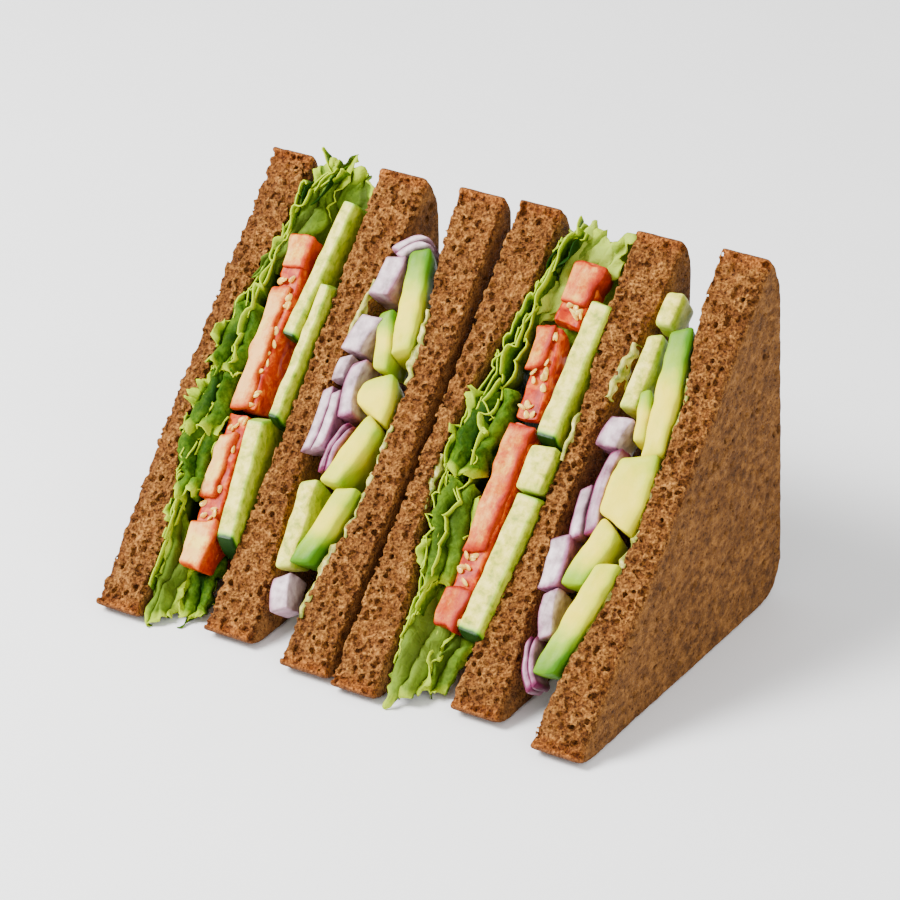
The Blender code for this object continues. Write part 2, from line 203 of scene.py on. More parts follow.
class Wall:
    """One side of a CAD node, left or right, that rays along the stack can find."""

    def __init__(self, name, side):
        points, triangles = node_mesh(name)
        self.tree = BVHTree.FromPolygons(points.tolist(), triangles.tolist())
        self.way = Vector((-1.0, 0.0, 0.0)) if side == "right" else Vector((1.0, 0.0, 0.0))

    def across(self, d, h):
        """Where the wall is across the stack, at places on the cut frame. Off the wall, the nearest place."""
        found = np.full(np.shape(d), np.nan)
        for index in np.ndindex(found.shape):
            _, y, z = from_cut(np.array([0.0, d[index], h[index]]))
            start = Vector((-200.0 * self.way.x, y, z))
            hit = self.tree.ray_cast(start, self.way)[0]
            if hit is not None:
                found[index] = hit.x
        known = ~np.isnan(found)
        return np.interp(np.arange(found.size), np.flatnonzero(known), found[known]).reshape(found.shape)


# ---- shader nodes


def new_material(name):
    material = bpy.data.materials.new(name)
    material.use_nodes = True
    tree = material.node_tree
    return material, tree, tree.nodes["Principled BSDF"]


def add_node(tree, kind, inputs, **settings):
    """The outputs of a new shader node. Inputs are linked where they are sockets, or else set."""
    node = tree.nodes.new("ShaderNode" + kind)
    for key, value in settings.items():
        setattr(node, key, value)
    for key, value in inputs.items():
        if isinstance(value, bpy.types.NodeSocket):
            tree.links.new(value, node.inputs[key])
        else:
            node.inputs[key].default_value = value
    return node.outputs


def attribute(tree, name):
    return add_node(tree, "Attribute", {}, attribute_name=name)["Fac"]


def place(tree, stretch=(1, 1, 1)):
    """The point's place in mm, which may be squeezed along an axis."""
    where = add_node(tree, "TexCoord", {})["Object"]
    scale = [amount / MM for amount in stretch]
    return add_node(tree, "VectorMath", {0: where, 1: scale}, operation="MULTIPLY")[0]


def texture(tree, where, size, detail=3.0, roughness=0.55, distortion=0.0):
    """Noise from 0 to 1 with features of about that size in mm."""
    inputs = {
        "Vector": where, "Scale": 1 / size, "Detail": detail, "Roughness": roughness, "Distortion": distortion
    }
    return add_node(tree, "TexNoise", inputs)["Fac"]


def cells(tree, where, size, feature="F1"):
    """Distance within cells of about that size in mm."""
    return add_node(tree, "TexVoronoi", {"Vector": where, "Scale": 1 / size}, feature=feature)["Distance"]


def warp(tree, where, size, amount):
    """Places pushed about by noise, so that a pattern on them loses its regularity."""
    push = add_node(tree, "TexNoise", {"Vector": where, "Scale": 1 / size})["Color"]
    centred = add_node(tree, "VectorMath", {0: push, 1: (0.5, 0.5, 0.5)}, operation="SUBTRACT")[0]
    moved = {0: centred, 1: [2 * amount] * 3, 2: where}
    return add_node(tree, "VectorMath", moved, operation="MULTIPLY_ADD")[0]


def rgba(colour):
    """A colour or a grey with its alpha. A socket stays as it is."""
    if isinstance(colour, (int, float)):
        return (colour, colour, colour, 1)
    return (*colour, 1) if isinstance(colour, tuple) else colour


def ramp(tree, value, *stops):
    """Colours or greys by value: each stop is (position, colour)."""
    node = tree.nodes.new("ShaderNodeValToRGB")
    tree.links.new(value, node.inputs[0])
    elements = node.color_ramp.elements
    while len(elements) < len(stops):
        elements.new(0.5)
    for element, (position, colour) in zip(elements, stops):
        element.position = position
        element.color = rgba(colour)
    return node.outputs["Color"]


def mix(tree, share, first, second, mode="MIX"):
    inputs = {0: share, 6: rgba(first), 7: rgba(second)}
    return add_node(tree, "Mix", inputs, data_type="RGBA", blend_type=mode)[2]


def tint(tree, colour, shade, share=1.0):
    """The colour multiplied by a shade. A share below 1 keeps some of it as it was."""
    tinted = mix(tree, 1.0, colour, shade, "MULTIPLY")
    return tinted if share == 1.0 else mix(tree, share, colour, tinted)


def maths(tree, operation, first, second):
    return add_node(tree, "Math", {0: first, 1: second}, operation=operation)[0]


def sway(tree, value, waves, amount, middle=0.5):
    """The value pushed up and down as the waves pass their middle."""
    return maths(tree, "ADD", value, maths(tree, "MULTIPLY", maths(tree, "SUBTRACT", waves, middle), amount))


def bump(tree, shader, height, strength, distance_mm):
    inputs = {"Height": height, "Strength": strength, "Distance": distance_mm * MM}
    tree.links.new(add_node(tree, "Bump", inputs)[0], shader.inputs["Normal"])


def finish(tree, shader, colour, **settings):
    """Links the colour and sets the shader's other sockets, whose names have underscores for spaces."""
    tree.links.new(colour, shader.inputs["Base Color"])
    for key, value in settings.items():
        shader.inputs[key.replace("_", " ")].default_value = value


# ---- bread

VOXEL = 0.43
BAND = 4.0  # how far on either side of its skin a slice's distances are known
ROUNDING = 1.1  # of the edges of a slice
SHOWN_RIM = 13.0  # how far from the cut the inner faces are worked in detail


def bread_material():
    material, tree, shader = new_material("bread_crumb")
    where = place(tree)
    grain = texture(tree, where, 0.8, detail=4, roughness=0.6)
    warped = warp(tree, where, 1.1, 0.5)
    pores = ramp(tree, cells(tree, warped, 0.95), (0.14, 0.0), (0.52, 1.0))
    crumb = ramp(
        tree, grain,
        (0.36, (0.125, 0.046, 0.010)), (0.50, (0.285, 0.118, 0.024)), (0.66, (0.540, 0.250, 0.052)),
    )
    # painted shade: the crumb is darkened in the holes of the pore pattern
    crumb = mix(tree, pores, tint(tree, crumb, (0.50, 0.41, 0.33)), crumb)
    # painted shade: the crumb is darker the deeper a point lies below the slice's first skin
    pit_shade = ramp(tree, attribute(tree, "pit"), (0.04, 0.0), (0.5, 1.0))
    crumb = tint(tree, crumb, (0.50, 0.40, 0.33), pit_shade)
    clouds = texture(tree, where, 12.0, detail=2)
    blotch = ramp(tree, clouds, (0.3, (0.84, 0.82, 0.80)), (0.7, (1.12, 1.10, 1.06)))
    crumb = tint(tree, crumb, blotch)
    crumb = tint(tree, crumb, (0.96, 0.72, 0.50), attribute(tree, "rim"))
    streaks = texture(tree, place(tree, (1.0, 0.42, 0.62)), 1.5, detail=5, roughness=0.7)
    outer = ramp(
        tree, streaks,
        (0.34, (0.074, 0.028, 0.007)), (0.50, (0.160, 0.065, 0.016)), (0.66, (0.290, 0.126, 0.031)),
    )
    specks = ramp(tree, cells(tree, warped, 1.7), (0.10, 1.0), (0.30, 0.0))
    outer = tint(tree, outer, (0.36, 0.28, 0.24), specks)
    # painted shade: the outer faces are darker in their deeper pits
    sunk_pit_shade = ramp(tree, attribute(tree, "pit"), (0.36, 0.0), (0.75, 1.0))
    outer = tint(tree, outer, (0.42, 0.33, 0.27), sunk_pit_shade)
    outer = tint(tree, outer, blotch)
    crumb = mix(tree, attribute(tree, "broad"), crumb, outer)
    baked = ramp(tree, grain, (0.3, (0.075, 0.025, 0.009)), (0.7, (0.165, 0.062, 0.020)))
    colour = mix(tree, attribute(tree, "crust"), crumb, baked)
    finish(tree, shader, colour, Roughness=0.9, Specular_IOR_Level=0.15)
    relief = mix(tree, 0.5, pores, texture(tree, where, 0.5, detail=3, roughness=0.6))
    bump(tree, shader, relief, 1.0, 0.85)
    return material


class SliceShape:
    """The outline of one slice: the two ends of its cut, its back and the rounding of its top corner."""

    def __init__(self, name):
        points = node_mesh(name)[0]
        h = to_cut(points)[:, 2]
        self.front_tip = points[h.argmin()]
        self.top_tip = points[h.argmax()]
        self.back = points[:, 1].max()
        top_radius = (self.back - self.top_tip[1]) / (1 - 1 / ROOT2)
        self.corners = (
            (self.front_tip[1] + CORNER / ROOT2, CORNER, CORNER, -1, -1),
            (self.back - CORNER, CORNER, CORNER, 1, -1),
            (self.back - top_radius, self.top_tip[2] - top_radius / ROOT2, top_radius, 1, 1),
        )

    def below_cut(self, points):
        """How far behind the slice's own cut each point is."""
        (_, d0, h0), (_, d1, h1) = to_cut(np.stack([self.front_tip, self.top_tip]))
        _, d, h = to_cut(points).T
        return d - (d0 + (d1 - d0) * (h - h0) / (h1 - h0))

    def below_crust(self, points):
        """How far inside the crusts each point is."""
        y, z = points[:, 1], points[:, 2]
        inside = np.minimum(self.back - y, z)
        for centre_y, centre_z, radius, side_y, side_z in self.corners:
            at_corner = ((y - centre_y) * side_y > 0) & ((z - centre_z) * side_z > 0)
            rounded = radius - np.hypot(y - centre_y, z - centre_z)
            inside = np.where(at_corner, rounded, inside)
        return inside


class Field:
    """Distances to a skin on a grid of voxels, negative inside."""

    def __init__(self, points, triangles, rounding=0.0):
        transform = openvdb.createLinearTransform(voxelSize=VOXEL)
        grid = self.distances(points, triangles, transform)
        if rounding:
            points, triangles, quads = grid.convertToPolygons(isovalue=-rounding)
            halves = np.concatenate([triangles, quads[:, [0, 1, 2]], quads[:, [0, 2, 3]]])[:, ::-1]
            grid = self.distances(points, halves, transform)
        low, high = grid.evalActiveVoxelBoundingBox()
        self.low = np.array(low)
        self.values = np.zeros([b - a + 1 for a, b in zip(low, high)], np.float32)
        grid.copyToArray(self.values, ijk=low)
        self.values -= rounding
        self.first_values = self.values.copy()

    @staticmethod
    def distances(points, triangles, transform):
        return openvdb.FloatGrid.createLevelSetFromPolygons(
            points.astype(np.float32), triangles=triangles.astype(np.uint32), transform=transform,
            halfWidth=BAND / VOXEL,
        )

    def first_distance(self, points):
        """The distance to the skin as it was before anything was taken off, at each point."""
        last = np.array(self.values.shape) - 1
        i, j, k = np.clip(np.round(points / VOXEL).astype(int) - self.low, 0, last).T
        return self.first_values[i, j, k]

    def near_skin(self, reach):
        """The index of each voxel near the skin, and its place in mm."""
        index = np.argwhere(np.abs(self.values) < reach)
        return index, (index + self.low) * VOXEL

    def hollow(self, centres, radii, stretches):
        """Takes an ellipsoid out at each centre."""
        for centre, radius, stretch in zip(centres, radii, stretches):
            reach = radius * stretch.max() + 2 * VOXEL
            low = np.maximum(np.floor((centre - reach) / VOXEL).astype(int) - self.low, 0)
            high = np.minimum(np.ceil((centre + reach) / VOXEL).astype(int) + 1 - self.low, self.values.shape)
            if (high <= low).any():
                continue
            steps = [VOXEL * (np.arange(low[i], high[i]) + self.low[i]) - centre[i] for i in range(3)]
            x, y, z = (step / stretch[i] for i, step in enumerate(steps))
            gap = radius - np.sqrt(x[:, None, None] ** 2 + y[None, :, None] ** 2 + z[None, None, :] ** 2)
            window = self.values[low[0] : high[0], low[1] : high[1], low[2] : high[2]]
            np.maximum(window, gap, out=window)

    def skin(self, adaptivity):
        """The skin's points in mm, and its triangles and quads, without loose crumbs or sealed holes."""
        grid = openvdb.FloatGrid(BAND)
        grid.copyFromArray(self.values)
        points, triangles, quads = grid.convertToPolygons(isovalue=0.0, adaptivity=adaptivity)
        points = (points + self.low) * VOXEL
        return largest_piece(points, triangles[:, ::-1], quads[:, ::-1])


def piece_labels(count, edges):
    """One number for each connected piece, at every point."""
    label = np.arange(count)
    while True:
        lowest = np.minimum(label[edges[:, 0]], label[edges[:, 1]])
        new = label.copy()
        np.minimum.at(new, label[edges[:, 0]], lowest)
        np.minimum.at(new, label[edges[:, 1]], lowest)
        new = new[new]
        if (new == label).all():
            return label
        label = new


def largest_piece(points, triangles, quads):
    """Keeps the faces and points of the largest connected piece."""
    pairs = [triangles[:, [0, 1]], triangles[:, [1, 2]]]
    pairs += [quads[:, [i, i + 1]] for i in range(3)]
    label = piece_labels(len(points), np.concatenate(pairs))
    kept = label == np.bincount(label).argmax()
    renumber = np.cumsum(kept) - 1
    return points[kept], renumber[triangles[kept[triangles[:, 0]]]], renumber[quads[kept[quads[:, 0]]]]


def crumb_bubbles(field, shape, outer, rng):
    """Where a slice's bubbles open: big on the cut, fine on the outer faces, none in the crusts."""
    spacing = 1.0
    low = field.low * VOXEL
    counts = np.ceil(np.array(field.values.shape) * VOXEL / spacing).astype(int)
    centres = low + spacing * (np.argwhere(np.ones(counts)) + rng.uniform(-0.15, 1.15, (counts.prod(), 3)))
    depth = -field.first_distance(centres)
    into = shape.below_cut(centres)
    on_cut = into < 2.6
    shown = on_cut | (into < SHOWN_RIM) | outer(centres)
    chance = np.where(on_cut, 0.9, np.where(outer(centres), 0.75, 0.28))
    kept = (depth > -0.2) & (depth < 1.5) & shown & (shape.below_crust(centres) > 1.5)
    kept &= rng.uniform(size=len(centres)) < chance
    centres, on_cut, depth = centres[kept], on_cut[kept], depth[kept]
    radii = np.where(on_cut, rng.gamma(4.5, 0.116, len(centres)), rng.gamma(5.0, 0.08, len(centres)))
    radii = np.clip(radii, 0.24, 1.0)
    kept = depth < radii * np.where(on_cut, 1.5, 0.8)
    centres, radii = centres[kept], radii[kept]
    stretches = rng.uniform(0.65, 1.35, (len(centres), 3))
    return centres, radii, stretches


def make_slice(number, material):
    name = SLICES[number]
    rng = np.random.default_rng(100 + number)
    shape = SliceShape(name)
    field = Field(*node_mesh(name), ROUNDING)
    left_end = field.low[0] * VOXEL
    right_end = left_end + field.values.shape[0] * VOXEL

    def outer(points):
        """The broad faces at the two ends of the stack."""
        first = (number == 0) & (points[:, 0] < left_end + 8)
        last = (number == len(SLICES) - 1) & (points[:, 0] > right_end - 8)
        return first | last

    index, places = field.near_skin(1.6)
    rim = 1 - smooth_step(shape.below_cut(places), 1.5, 6.0)
    torn = 0.5 + 0.5 * noise(places, 2.1, number + 1)
    lumpy = 0.5 + 0.5 * noise(places, 5.5, number + 11)
    ragged = 0.5 + 0.5 * noise(places, 1.15, number + 21)
    worn = rim * (0.65 * torn + 0.45 * lumpy + 0.45 * ragged - 0.25) + 0.2 * torn
    worn += (0.6 * lumpy + 0.5 * torn) * outer(places)
    worn *= 0.1 + 0.9 * smooth_step(shape.below_crust(places), 0.0, 3.0)
    field.values[tuple(index.T)] += worn
    field.hollow(*crumb_bubbles(field, shape, outer, rng))
    points, triangles, quads = field.skin(0.1)
    into = shape.below_cut(points)
    below_crust = shape.below_crust(points)
    below_broad = np.where(into > 2.0, smooth_step(into, 2.0, 4.0), 0.0)
    # pit drives the painted shade in the crumb's pits
    values = {
        "pit": np.clip(-field.first_distance(points) / 2.2, 0, 1),
        "crust": 1 - smooth_step(below_crust, 0.3, 1.4),
        "rim": 1 - smooth_step(below_crust, 1.0, 6.0),
        "broad": below_broad,
    }
    obj = mesh_object(name + "_crumb", points, (triangles, quads), material, values)
    hand_in(obj, "bread", name)


# ---- chunks of filling

Chunk = namedtuple("Chunk", "points quads u v w")


def grid_quads(numbers):
    """The quads between neighbours in a grid of point numbers."""
    corners = [numbers[:-1, :-1], numbers[1:, :-1], numbers[1:, 1:], numbers[:-1, 1:]]
    return np.stack(corners, axis=-1).reshape(-1, 4)


def shell_faces(rows, columns):
    """Faces of a closed body between two grids of points, the second numbered after the first."""
    total = rows * columns
    numbers = np.arange(total).reshape(rows, columns)
    quads = grid_quads(numbers)
    border = np.concatenate([numbers[:-1, 0], numbers[-1, :-1], numbers[:0:-1, -1], numbers[0, :0:-1]])
    after = np.roll(border, -1)
    rim = np.stack([border, border + total, after + total, after], axis=1)
    return np.concatenate([quads, quads[:, ::-1] + total, rim])


def box_mesh(xs, ys, zs):
    """The skin of a box divided at the given places along its three sides."""
    numbers = np.arange(len(xs) * len(ys) * len(zs)).reshape(len(xs), len(ys), len(zs))
    quads = []
    for axis in range(3):
        for end in (0, -1):
            side = np.take(numbers, end, axis=axis)
            ring = grid_quads(side)
            turned = (end == 0) != (axis == 1)
            quads.append(ring[:, ::-1] if turned else ring)
    used, quads = np.unique(np.concatenate(quads), return_inverse=True)
    points = np.stack(np.meshgrid(xs, ys, zs, indexing="ij"), axis=-1).reshape(-1, 3)[used]
    return points, quads.reshape(-1, 4)


def divided(half, radius, step):
    """Places from -half to half, close together where the ends are rounded."""
    near_end = half - radius * np.array([0.0, 0.12, 0.4, 1.0])
    middle = max(2, round(2 * (half - radius) / step))
    between = np.linspace(-near_end[-1], near_end[-1], middle + 1)[1:-1]
    return np.concatenate([-near_end, between, near_end[::-1]])


def rounded_box(size, radius, step):
    """A box with rounded edges, centred. Its unit coordinates run from -1 to 1 along each side."""
    half = np.array(size) / 2
    radius = min(radius, 0.98 * half.min())
    points, quads = box_mesh(*(divided(side, radius, step) for side in half))
    core = np.clip(points, radius - half, half - radius)
    away = points - core
    points = core + away * radius / np.maximum(np.linalg.norm(away, axis=1, keepdims=True), 1e-6)
    return points, quads, points / half


Section = namedtuple("Section", "middle across along half_thick half_long depth far_middle far_share")


def section(name):
    """How a strip or a cut disc shows on the cut face, all in the cut frame."""
    points = to_cut(node_mesh(name)[0])
    nearest, deepest = points[:, 1].min(), points[:, 1].max()
    shown = points[points[:, 1] < nearest + 0.5]
    far = points[points[:, 1] > deepest - 0.5]
    middle = (shown.min(axis=0) + shown.max(axis=0)) / 2
    offsets = shown[:, [0, 2]] - middle[[0, 2]]
    along = np.linalg.eigh(offsets.T @ offsets)[1][:, 1]
    along = along * np.sign(along[1])
    across = np.array([along[1], -along[0]])
    half_long = np.abs(offsets @ along).max()
    half_thick = np.abs(offsets @ across).max()
    far_middle = (far.min(axis=0) + far.max(axis=0)) / 2
    far_long = np.abs((far[:, [0, 2]] - far_middle[[0, 2]]) @ along).max()
    return Section(
        middle, np.array([across[0], 0, across[1]]), np.array([along[0], 0, along[1]]),
        half_thick, half_long, deepest - nearest, far_middle, far_long / half_long,
    )


def strip_chunk(where, size, shift=(0.0, 0.0), *, radius, slants, rough, seed, proud=0.0, step=1.3,
                taper=None, bulge=0.0, bend=0.0, wobble=0.06):
    """A piece that follows a section inward. Size and shift are shares of the section, thick then long.

    The wobble is how much each side's distance from the middle varies along the piece."""
    thick, long = where.half_thick * size[0], where.half_long * size[1]
    depth = where.depth + proud
    points, quads, unit = rounded_box((2 * thick, depth, 2 * long), radius, step)
    u, w, v = unit.T
    inward = (w + 1) / 2
    narrow = 1 - (1 - (where.far_share if taper is None else taper)) * inward**2
    varied = wobble * np.where(u > 0, wander(points[:, 2], 6.0, seed), wander(points[:, 2], 6.0, seed + 50))
    swollen = 1 + bulge * (1 - v**2) + varied
    across = points[:, 0] * narrow * swollen + shift[0] * where.half_thick + bend * (v**2 - 0.4)
    slant = np.where(v > 0, slants[1], slants[0]) * np.abs(v) * u
    along = (points[:, 2] + slant) * narrow + shift[1] * where.half_long
    drift = (where.far_middle - where.middle) * inward[:, None]
    drift[:, 1] = 0
    placed = where.middle + drift + across[:, None] * where.across + along[:, None] * where.along
    placed[:, 1] += depth * inward - proud
    placed += unevenness(placed, 3.2, rough, seed)
    return Chunk(from_cut(placed), quads, u, v, inward)


# ---- avocado

# How each piece's ends slant, how its sides bulge, and how green its head and its foot are.
Avocado = namedtuple("Avocado", "slants bulge head_green foot_green")
AVOCADO = {
    1: Avocado((1.2, 1.0), 0.10, 0.9, 0.15),
    2: Avocado((-0.5, 0.8), 0.05, 0.8, 0.25),
    3: Avocado((-2.2, 1.8), 0.22, 0.25, 0.0),
    4: Avocado((1.6, -1.2), 0.12, 0.2, 0.2),
    5: Avocado((1.5, 1.4), 0.12, 0.25, 0.9),
    6: Avocado((1.0, 1.2), 0.10, 0.85, 0.05),
    7: Avocado((0.4, 0.6), 0.05, 0.5, 0.1),
    8: Avocado((-2.0, 2.2), 0.18, 0.2, 0.0),
    9: Avocado((1.5, -1.2), 0.12, 0.1, 0.5),
    10: Avocado((1.4, 1.5), 0.12, 0.15, 0.85),
}
BEHIND = Avocado((0.6, 0.6), 0.1, 0.6, 0.2)


def avocado_material():
    material, tree, shader = new_material("avocado_flesh")
    where = place(tree)
    green = sway(tree, attribute(tree, "green"), texture(tree, where, 4.0, detail=4), 0.3)
    colour = ramp(
        tree, green, (0.02, (0.80, 0.66, 0.018)), (0.18, (0.58, 0.59, 0.010)),
        (0.44, (0.27, 0.43, 0.006)), (0.95, (0.060, 0.19, 0.004)),
    )
    finish(tree, shader, colour, Roughness=0.42, Specular_IOR_Level=0.12, Subsurface_Weight=0.15,
           Subsurface_Radius=(1.0, 0.9, 0.35), Subsurface_Scale=0.0012)
    bump(tree, shader, texture(tree, where, 1.3, detail=4), 0.35, 0.3)
    return material


def avocado_green(looks, v, u):
    """Greener towards the skin, which is at one end and along one side."""
    towards_head = smooth_step(v, -0.2, 1.05)
    towards_foot = smooth_step(-v, -0.2, 1.05)
    side = 0.45 * smooth_step(u, 0.3, 1.1)
    ends = looks.head_green * towards_head + looks.foot_green * towards_foot
    return np.clip(ends + side * (0.3 + ends), 0, 1)


def make_avocado(material):
    for number in range(1, 11):
        name = f"avocado_{number}"
        looks = AVOCADO[number]
        chunk = strip_chunk(section(name), (1.12, 1.05), proud=0.3, radius=1.3, step=1.1, slants=looks.slants,
                            bulge=looks.bulge, rough=0.32, seed=number)
        batch = Batch()
        batch.add(chunk.points, chunk.quads, green=avocado_green(looks, chunk.v, chunk.u))
        batch.make(name + "_wedge", material, "avocado", name)


# ---- onion

# How many layers each piece shows, how far it bends, and how purple its left side is.
Onion = namedtuple("Onion", "layers bend purple")
ONION = {
    1: Onion(2, 1.2, 0.45), 2: Onion(1, -0.5, 0.35), 3: Onion(1, 0.5, 0.3), 4: Onion(1, 0.3, 0.1),
    5: Onion(1, 1.3, 0.6), 6: Onion(2, -0.7, 0.4), 7: Onion(2, 1.4, 1.0), 8: Onion(1, 0.5, 0.35),
    9: Onion(1, 0.7, 0.45), 10: Onion(1, 1.4, 0.8), 11: Onion(1, 0.5, 0.6), 12: Onion(1, -0.6, 0.5),
    13: Onion(1, 0.7, 0.45), 14: Onion(2, 1.3, 0.9),
}


def onion_material():
    material, tree, shader = new_material("onion_flesh")
    where = place(tree)
    lines = texture(tree, place(tree, (2.2, 0.5, 0.5)), 2.2, detail=3)
    pale = ramp(
        tree, texture(tree, where, 3.2, detail=3),
        (0.3, (0.22, 0.14, 0.155)), (0.5, (0.44, 0.31, 0.34)), (0.72, (0.66, 0.52, 0.55)),
    )
    purple = sway(tree, attribute(tree, "purple"), lines, 0.5)
    stain = ramp(tree, purple, (0.16, (1, 1, 1)), (0.46, (0.68, 0.38, 0.56)), (0.84, (0.28, 0.036, 0.15)))
    colour = tint(tree, pale, stain)
    finish(tree, shader, colour, Roughness=0.32, Specular_IOR_Level=0.25, Subsurface_Weight=0.2,
           Subsurface_Radius=(0.9, 0.6, 0.8), Subsurface_Scale=0.0012)
    bump(tree, shader, lines, 0.3, 0.25)
    return material


def add_onion(batch, where, looks, seed):
    """Nested layers that bend the same way, purple along the left of each."""
    share = 1 / looks.layers
    for layer in range(looks.layers):
        shift = (2 * layer + 1) * share - 1
        length = 1.0 - 0.10 * layer
        chunk = strip_chunk(
            where, (1.27 * share * 0.96, 1.12 * length), (1.27 * shift, 0.04 * layer), proud=0.3, radius=0.6,
            step=1.2, slants=(0.9, 1.1), bend=looks.bend, rough=0.28, seed=seed + layer,
        )
        convex = chunk.u * (1 if looks.bend < 0 else -1)
        sides = np.maximum(smooth_step(convex, 0.35, 1.0), 0.7 * smooth_step(np.abs(chunk.v), 0.8, 1.0))
        stain = looks.purple * (0.6 * looks.purple - 0.05 + 1.1 * sides)
        batch.add(chunk.points, chunk.quads, purple=np.clip(stain, 0, 1))


def make_onion(material):
    for number in range(1, 15):
        name = f"onion_{number}"
        batch = Batch()
        add_onion(batch, section(name), ONION[number], 40 + 3 * number)
        batch.make(name + "_layers", material, "onion", name)


# ---- cucumber

CUCUMBER_DISCS = (1, 2, 3, 4, 5)
CUCUMBER_STRIPS = (8, 9, 10, 11)


def cucumber_material():
    material, tree, shader = new_material("cucumber_flesh")
    where = place(tree)
    uneven = maths(tree, "MULTIPLY", texture(tree, where, 3.0), 0.8)
    ragged = maths(tree, "ADD", attribute(tree, "below_skin"), uneven)
    depth = maths(tree, "DIVIDE", ragged, 4.0)
    cloud = texture(tree, warp(tree, where, 4.0, 1.2), 2.8, detail=4, roughness=0.65)
    flesh = ramp(
        tree, cloud, (0.32, (0.28, 0.33, 0.020)), (0.47, (0.60, 0.55, 0.050)), (0.62, (0.84, 0.72, 0.150))
    )
    rind = ramp(
        tree, depth, (0.19, (0.008, 0.035, 0.004)), (0.25, (0.030, 0.115, 0.008)),
        (0.36, (0.26, 0.46, 0.030)), (0.60, (0.55, 0.72, 0.12)),
    )
    colour = mix(tree, ramp(tree, depth, (0.32, 1.0), (0.66, 0.0)), flesh, rind)
    # painted shade, tinted greener: the right side of each piece, which faces away from the light, is darker
    colour = tint(tree, colour, (0.50, 0.70, 0.14), attribute(tree, "side"))
    finish(tree, shader, colour, Roughness=0.4, Specular_IOR_Level=0.14, Subsurface_Weight=0.15,
           Subsurface_Radius=(0.9, 1.0, 0.4), Subsurface_Scale=0.0012)
    bump(tree, shader, cloud, 0.45, 0.4)
    return material


def disc_chunk(where, radius_scale=1.0, *, radius, rough, seed, proud=0.0, recess=0.0):
    """A round slice cut off by the cut face: the section is its chord, and its rim curves in from there."""
    depth, chord = where.depth, where.half_long
    centre = (depth**2 - chord**2) / (2 * depth)
    disc_radius = (depth - centre) * radius_scale
    edge_share = 0.7 / where.half_long
    points, quads = box_mesh(
        divided(1.0, 0.6 / where.half_thick, 0.5),
        divided(1.0, edge_share, 0.12),
        divided(1.0, edge_share, 0.08),
    )
    u, w, v = points.T
    start = -proud + recess
    end = centre + 0.985 * disc_radius
    d = start + (end - start) * (w + 1) / 2
    half_chord = np.sqrt(np.maximum(disc_radius**2 - (d - centre) ** 2, (0.1 * disc_radius) ** 2))
    along = v * half_chord
    edge = np.minimum(np.minimum(half_chord - np.abs(along), d - start), radius)
    soften = radius - np.sqrt(np.maximum(radius**2 - (radius - edge) ** 2, 0))
    thick = where.half_thick - soften * 0.8
    across = u * thick
    placed = where.middle + across[:, None] * where.across + along[:, None] * where.along
    placed[:, 1] = where.middle[1] + d
    placed += unevenness(placed, 3.5, rough, seed)
    below_skin = disc_radius - np.hypot(d - centre, along)
    return Chunk(from_cut(placed), quads, u, v, (w + 1) / 2), below_skin


def make_cucumber(material):
    for number in CUCUMBER_DISCS + CUCUMBER_STRIPS:
        name = f"cucumber_{number}"
        batch = Batch()
        where = section(name)
        if number in CUCUMBER_DISCS:
            chunk, below_skin = disc_chunk(where, seed=number, proud=0.3, radius=1.1, rough=0.22)
        else:
            chunk = strip_chunk(
                where, (1.1, 1.0), radius=1.2, slants=(0.6, 0.8), bulge=0.06, rough=0.25, seed=number
            )
            below_skin = 0.3 + 5 * (1 - np.abs(chunk.v)) + 1.2 * smooth_step(-chunk.v, 0.5, 1)
        # side marks the right side of each piece for its painted shade
        side = 0.9 * smooth_step(chunk.u, 0.75, 0.98)
        below_skin = below_skin + 1.1 * smooth_step(chunk.v, 0.2, 0.9)
        batch.add(chunk.points, chunk.quads, below_skin=below_skin, side=side)
        batch.make(name + "_slice", material, "cucumber", name)


# ---- tomato

# Pieces of firm flesh in each tomato node, as shares of the section: from and to along it, and from and to
# across it. The gel and seeds fill what is left.
Flesh = namedtuple("Flesh", "low high left right slants")
TOMATO = {
    1: (Flesh(-1.0, 0.42, -1.15, 0.45, (0.8, 0.6)), Flesh(0.64, 1.02, -1.1, 1.15, (0.6, 0.4))),
    2: (Flesh(-1.05, -0.42, -1.1, 1.1, (-0.6, 0.8)), Flesh(-0.12, 0.72, -1.2, 0.25, (0.9, 0.7))),
    3: (Flesh(-0.35, 1.0, -1.1, 1.1, (0.4, 0.3)),),
    4: (Flesh(0.05, 1.0, -1.25, 0.35, (0.7, 0.5)),),
    5: (Flesh(-1.02, -0.62, -1.1, 0.9, (-0.6, 0.7)), Flesh(-0.28, 0.98, -1.05, 0.85, (0.8, 0.5))),
}


def tomato_material():
    material, tree, shader = new_material("tomato_flesh")
    where = place(tree)
    fibre = texture(tree, place(tree, (1.6, 0.7, 0.5)), 3.0, detail=4)
    mottle = texture(tree, warp(tree, where, 3.0, 1.0), 1.6, detail=5, roughness=0.7)
    both = maths(tree, "ADD", fibre, mottle)
    red = sway(tree, attribute(tree, "red"), both, 0.75, middle=1.0)
    colour = ramp(
        tree, red, (0.02, (0.80, 0.400, 0.110)), (0.22, (0.66, 0.230, 0.034)), (0.42, (0.50, 0.085, 0.004)),
        (0.62, (0.38, 0.026, 0.001)), (0.9, (0.22, 0.008, 0.001)),
    )
    golden = ramp(tree, texture(tree, where, 8.0, detail=2), (0.52, 0.0), (0.68, 0.7))
    colour = tint(tree, colour, (1.1, 1.7, 0.9), golden)
    finish(tree, shader, colour, Roughness=0.42, Specular_IOR_Level=0.14, Subsurface_Weight=0.1,
           Subsurface_Radius=(1.0, 0.25, 0.1), Subsurface_Scale=0.0012)
    bump(tree, shader, both, 0.5, 0.4)
    return material


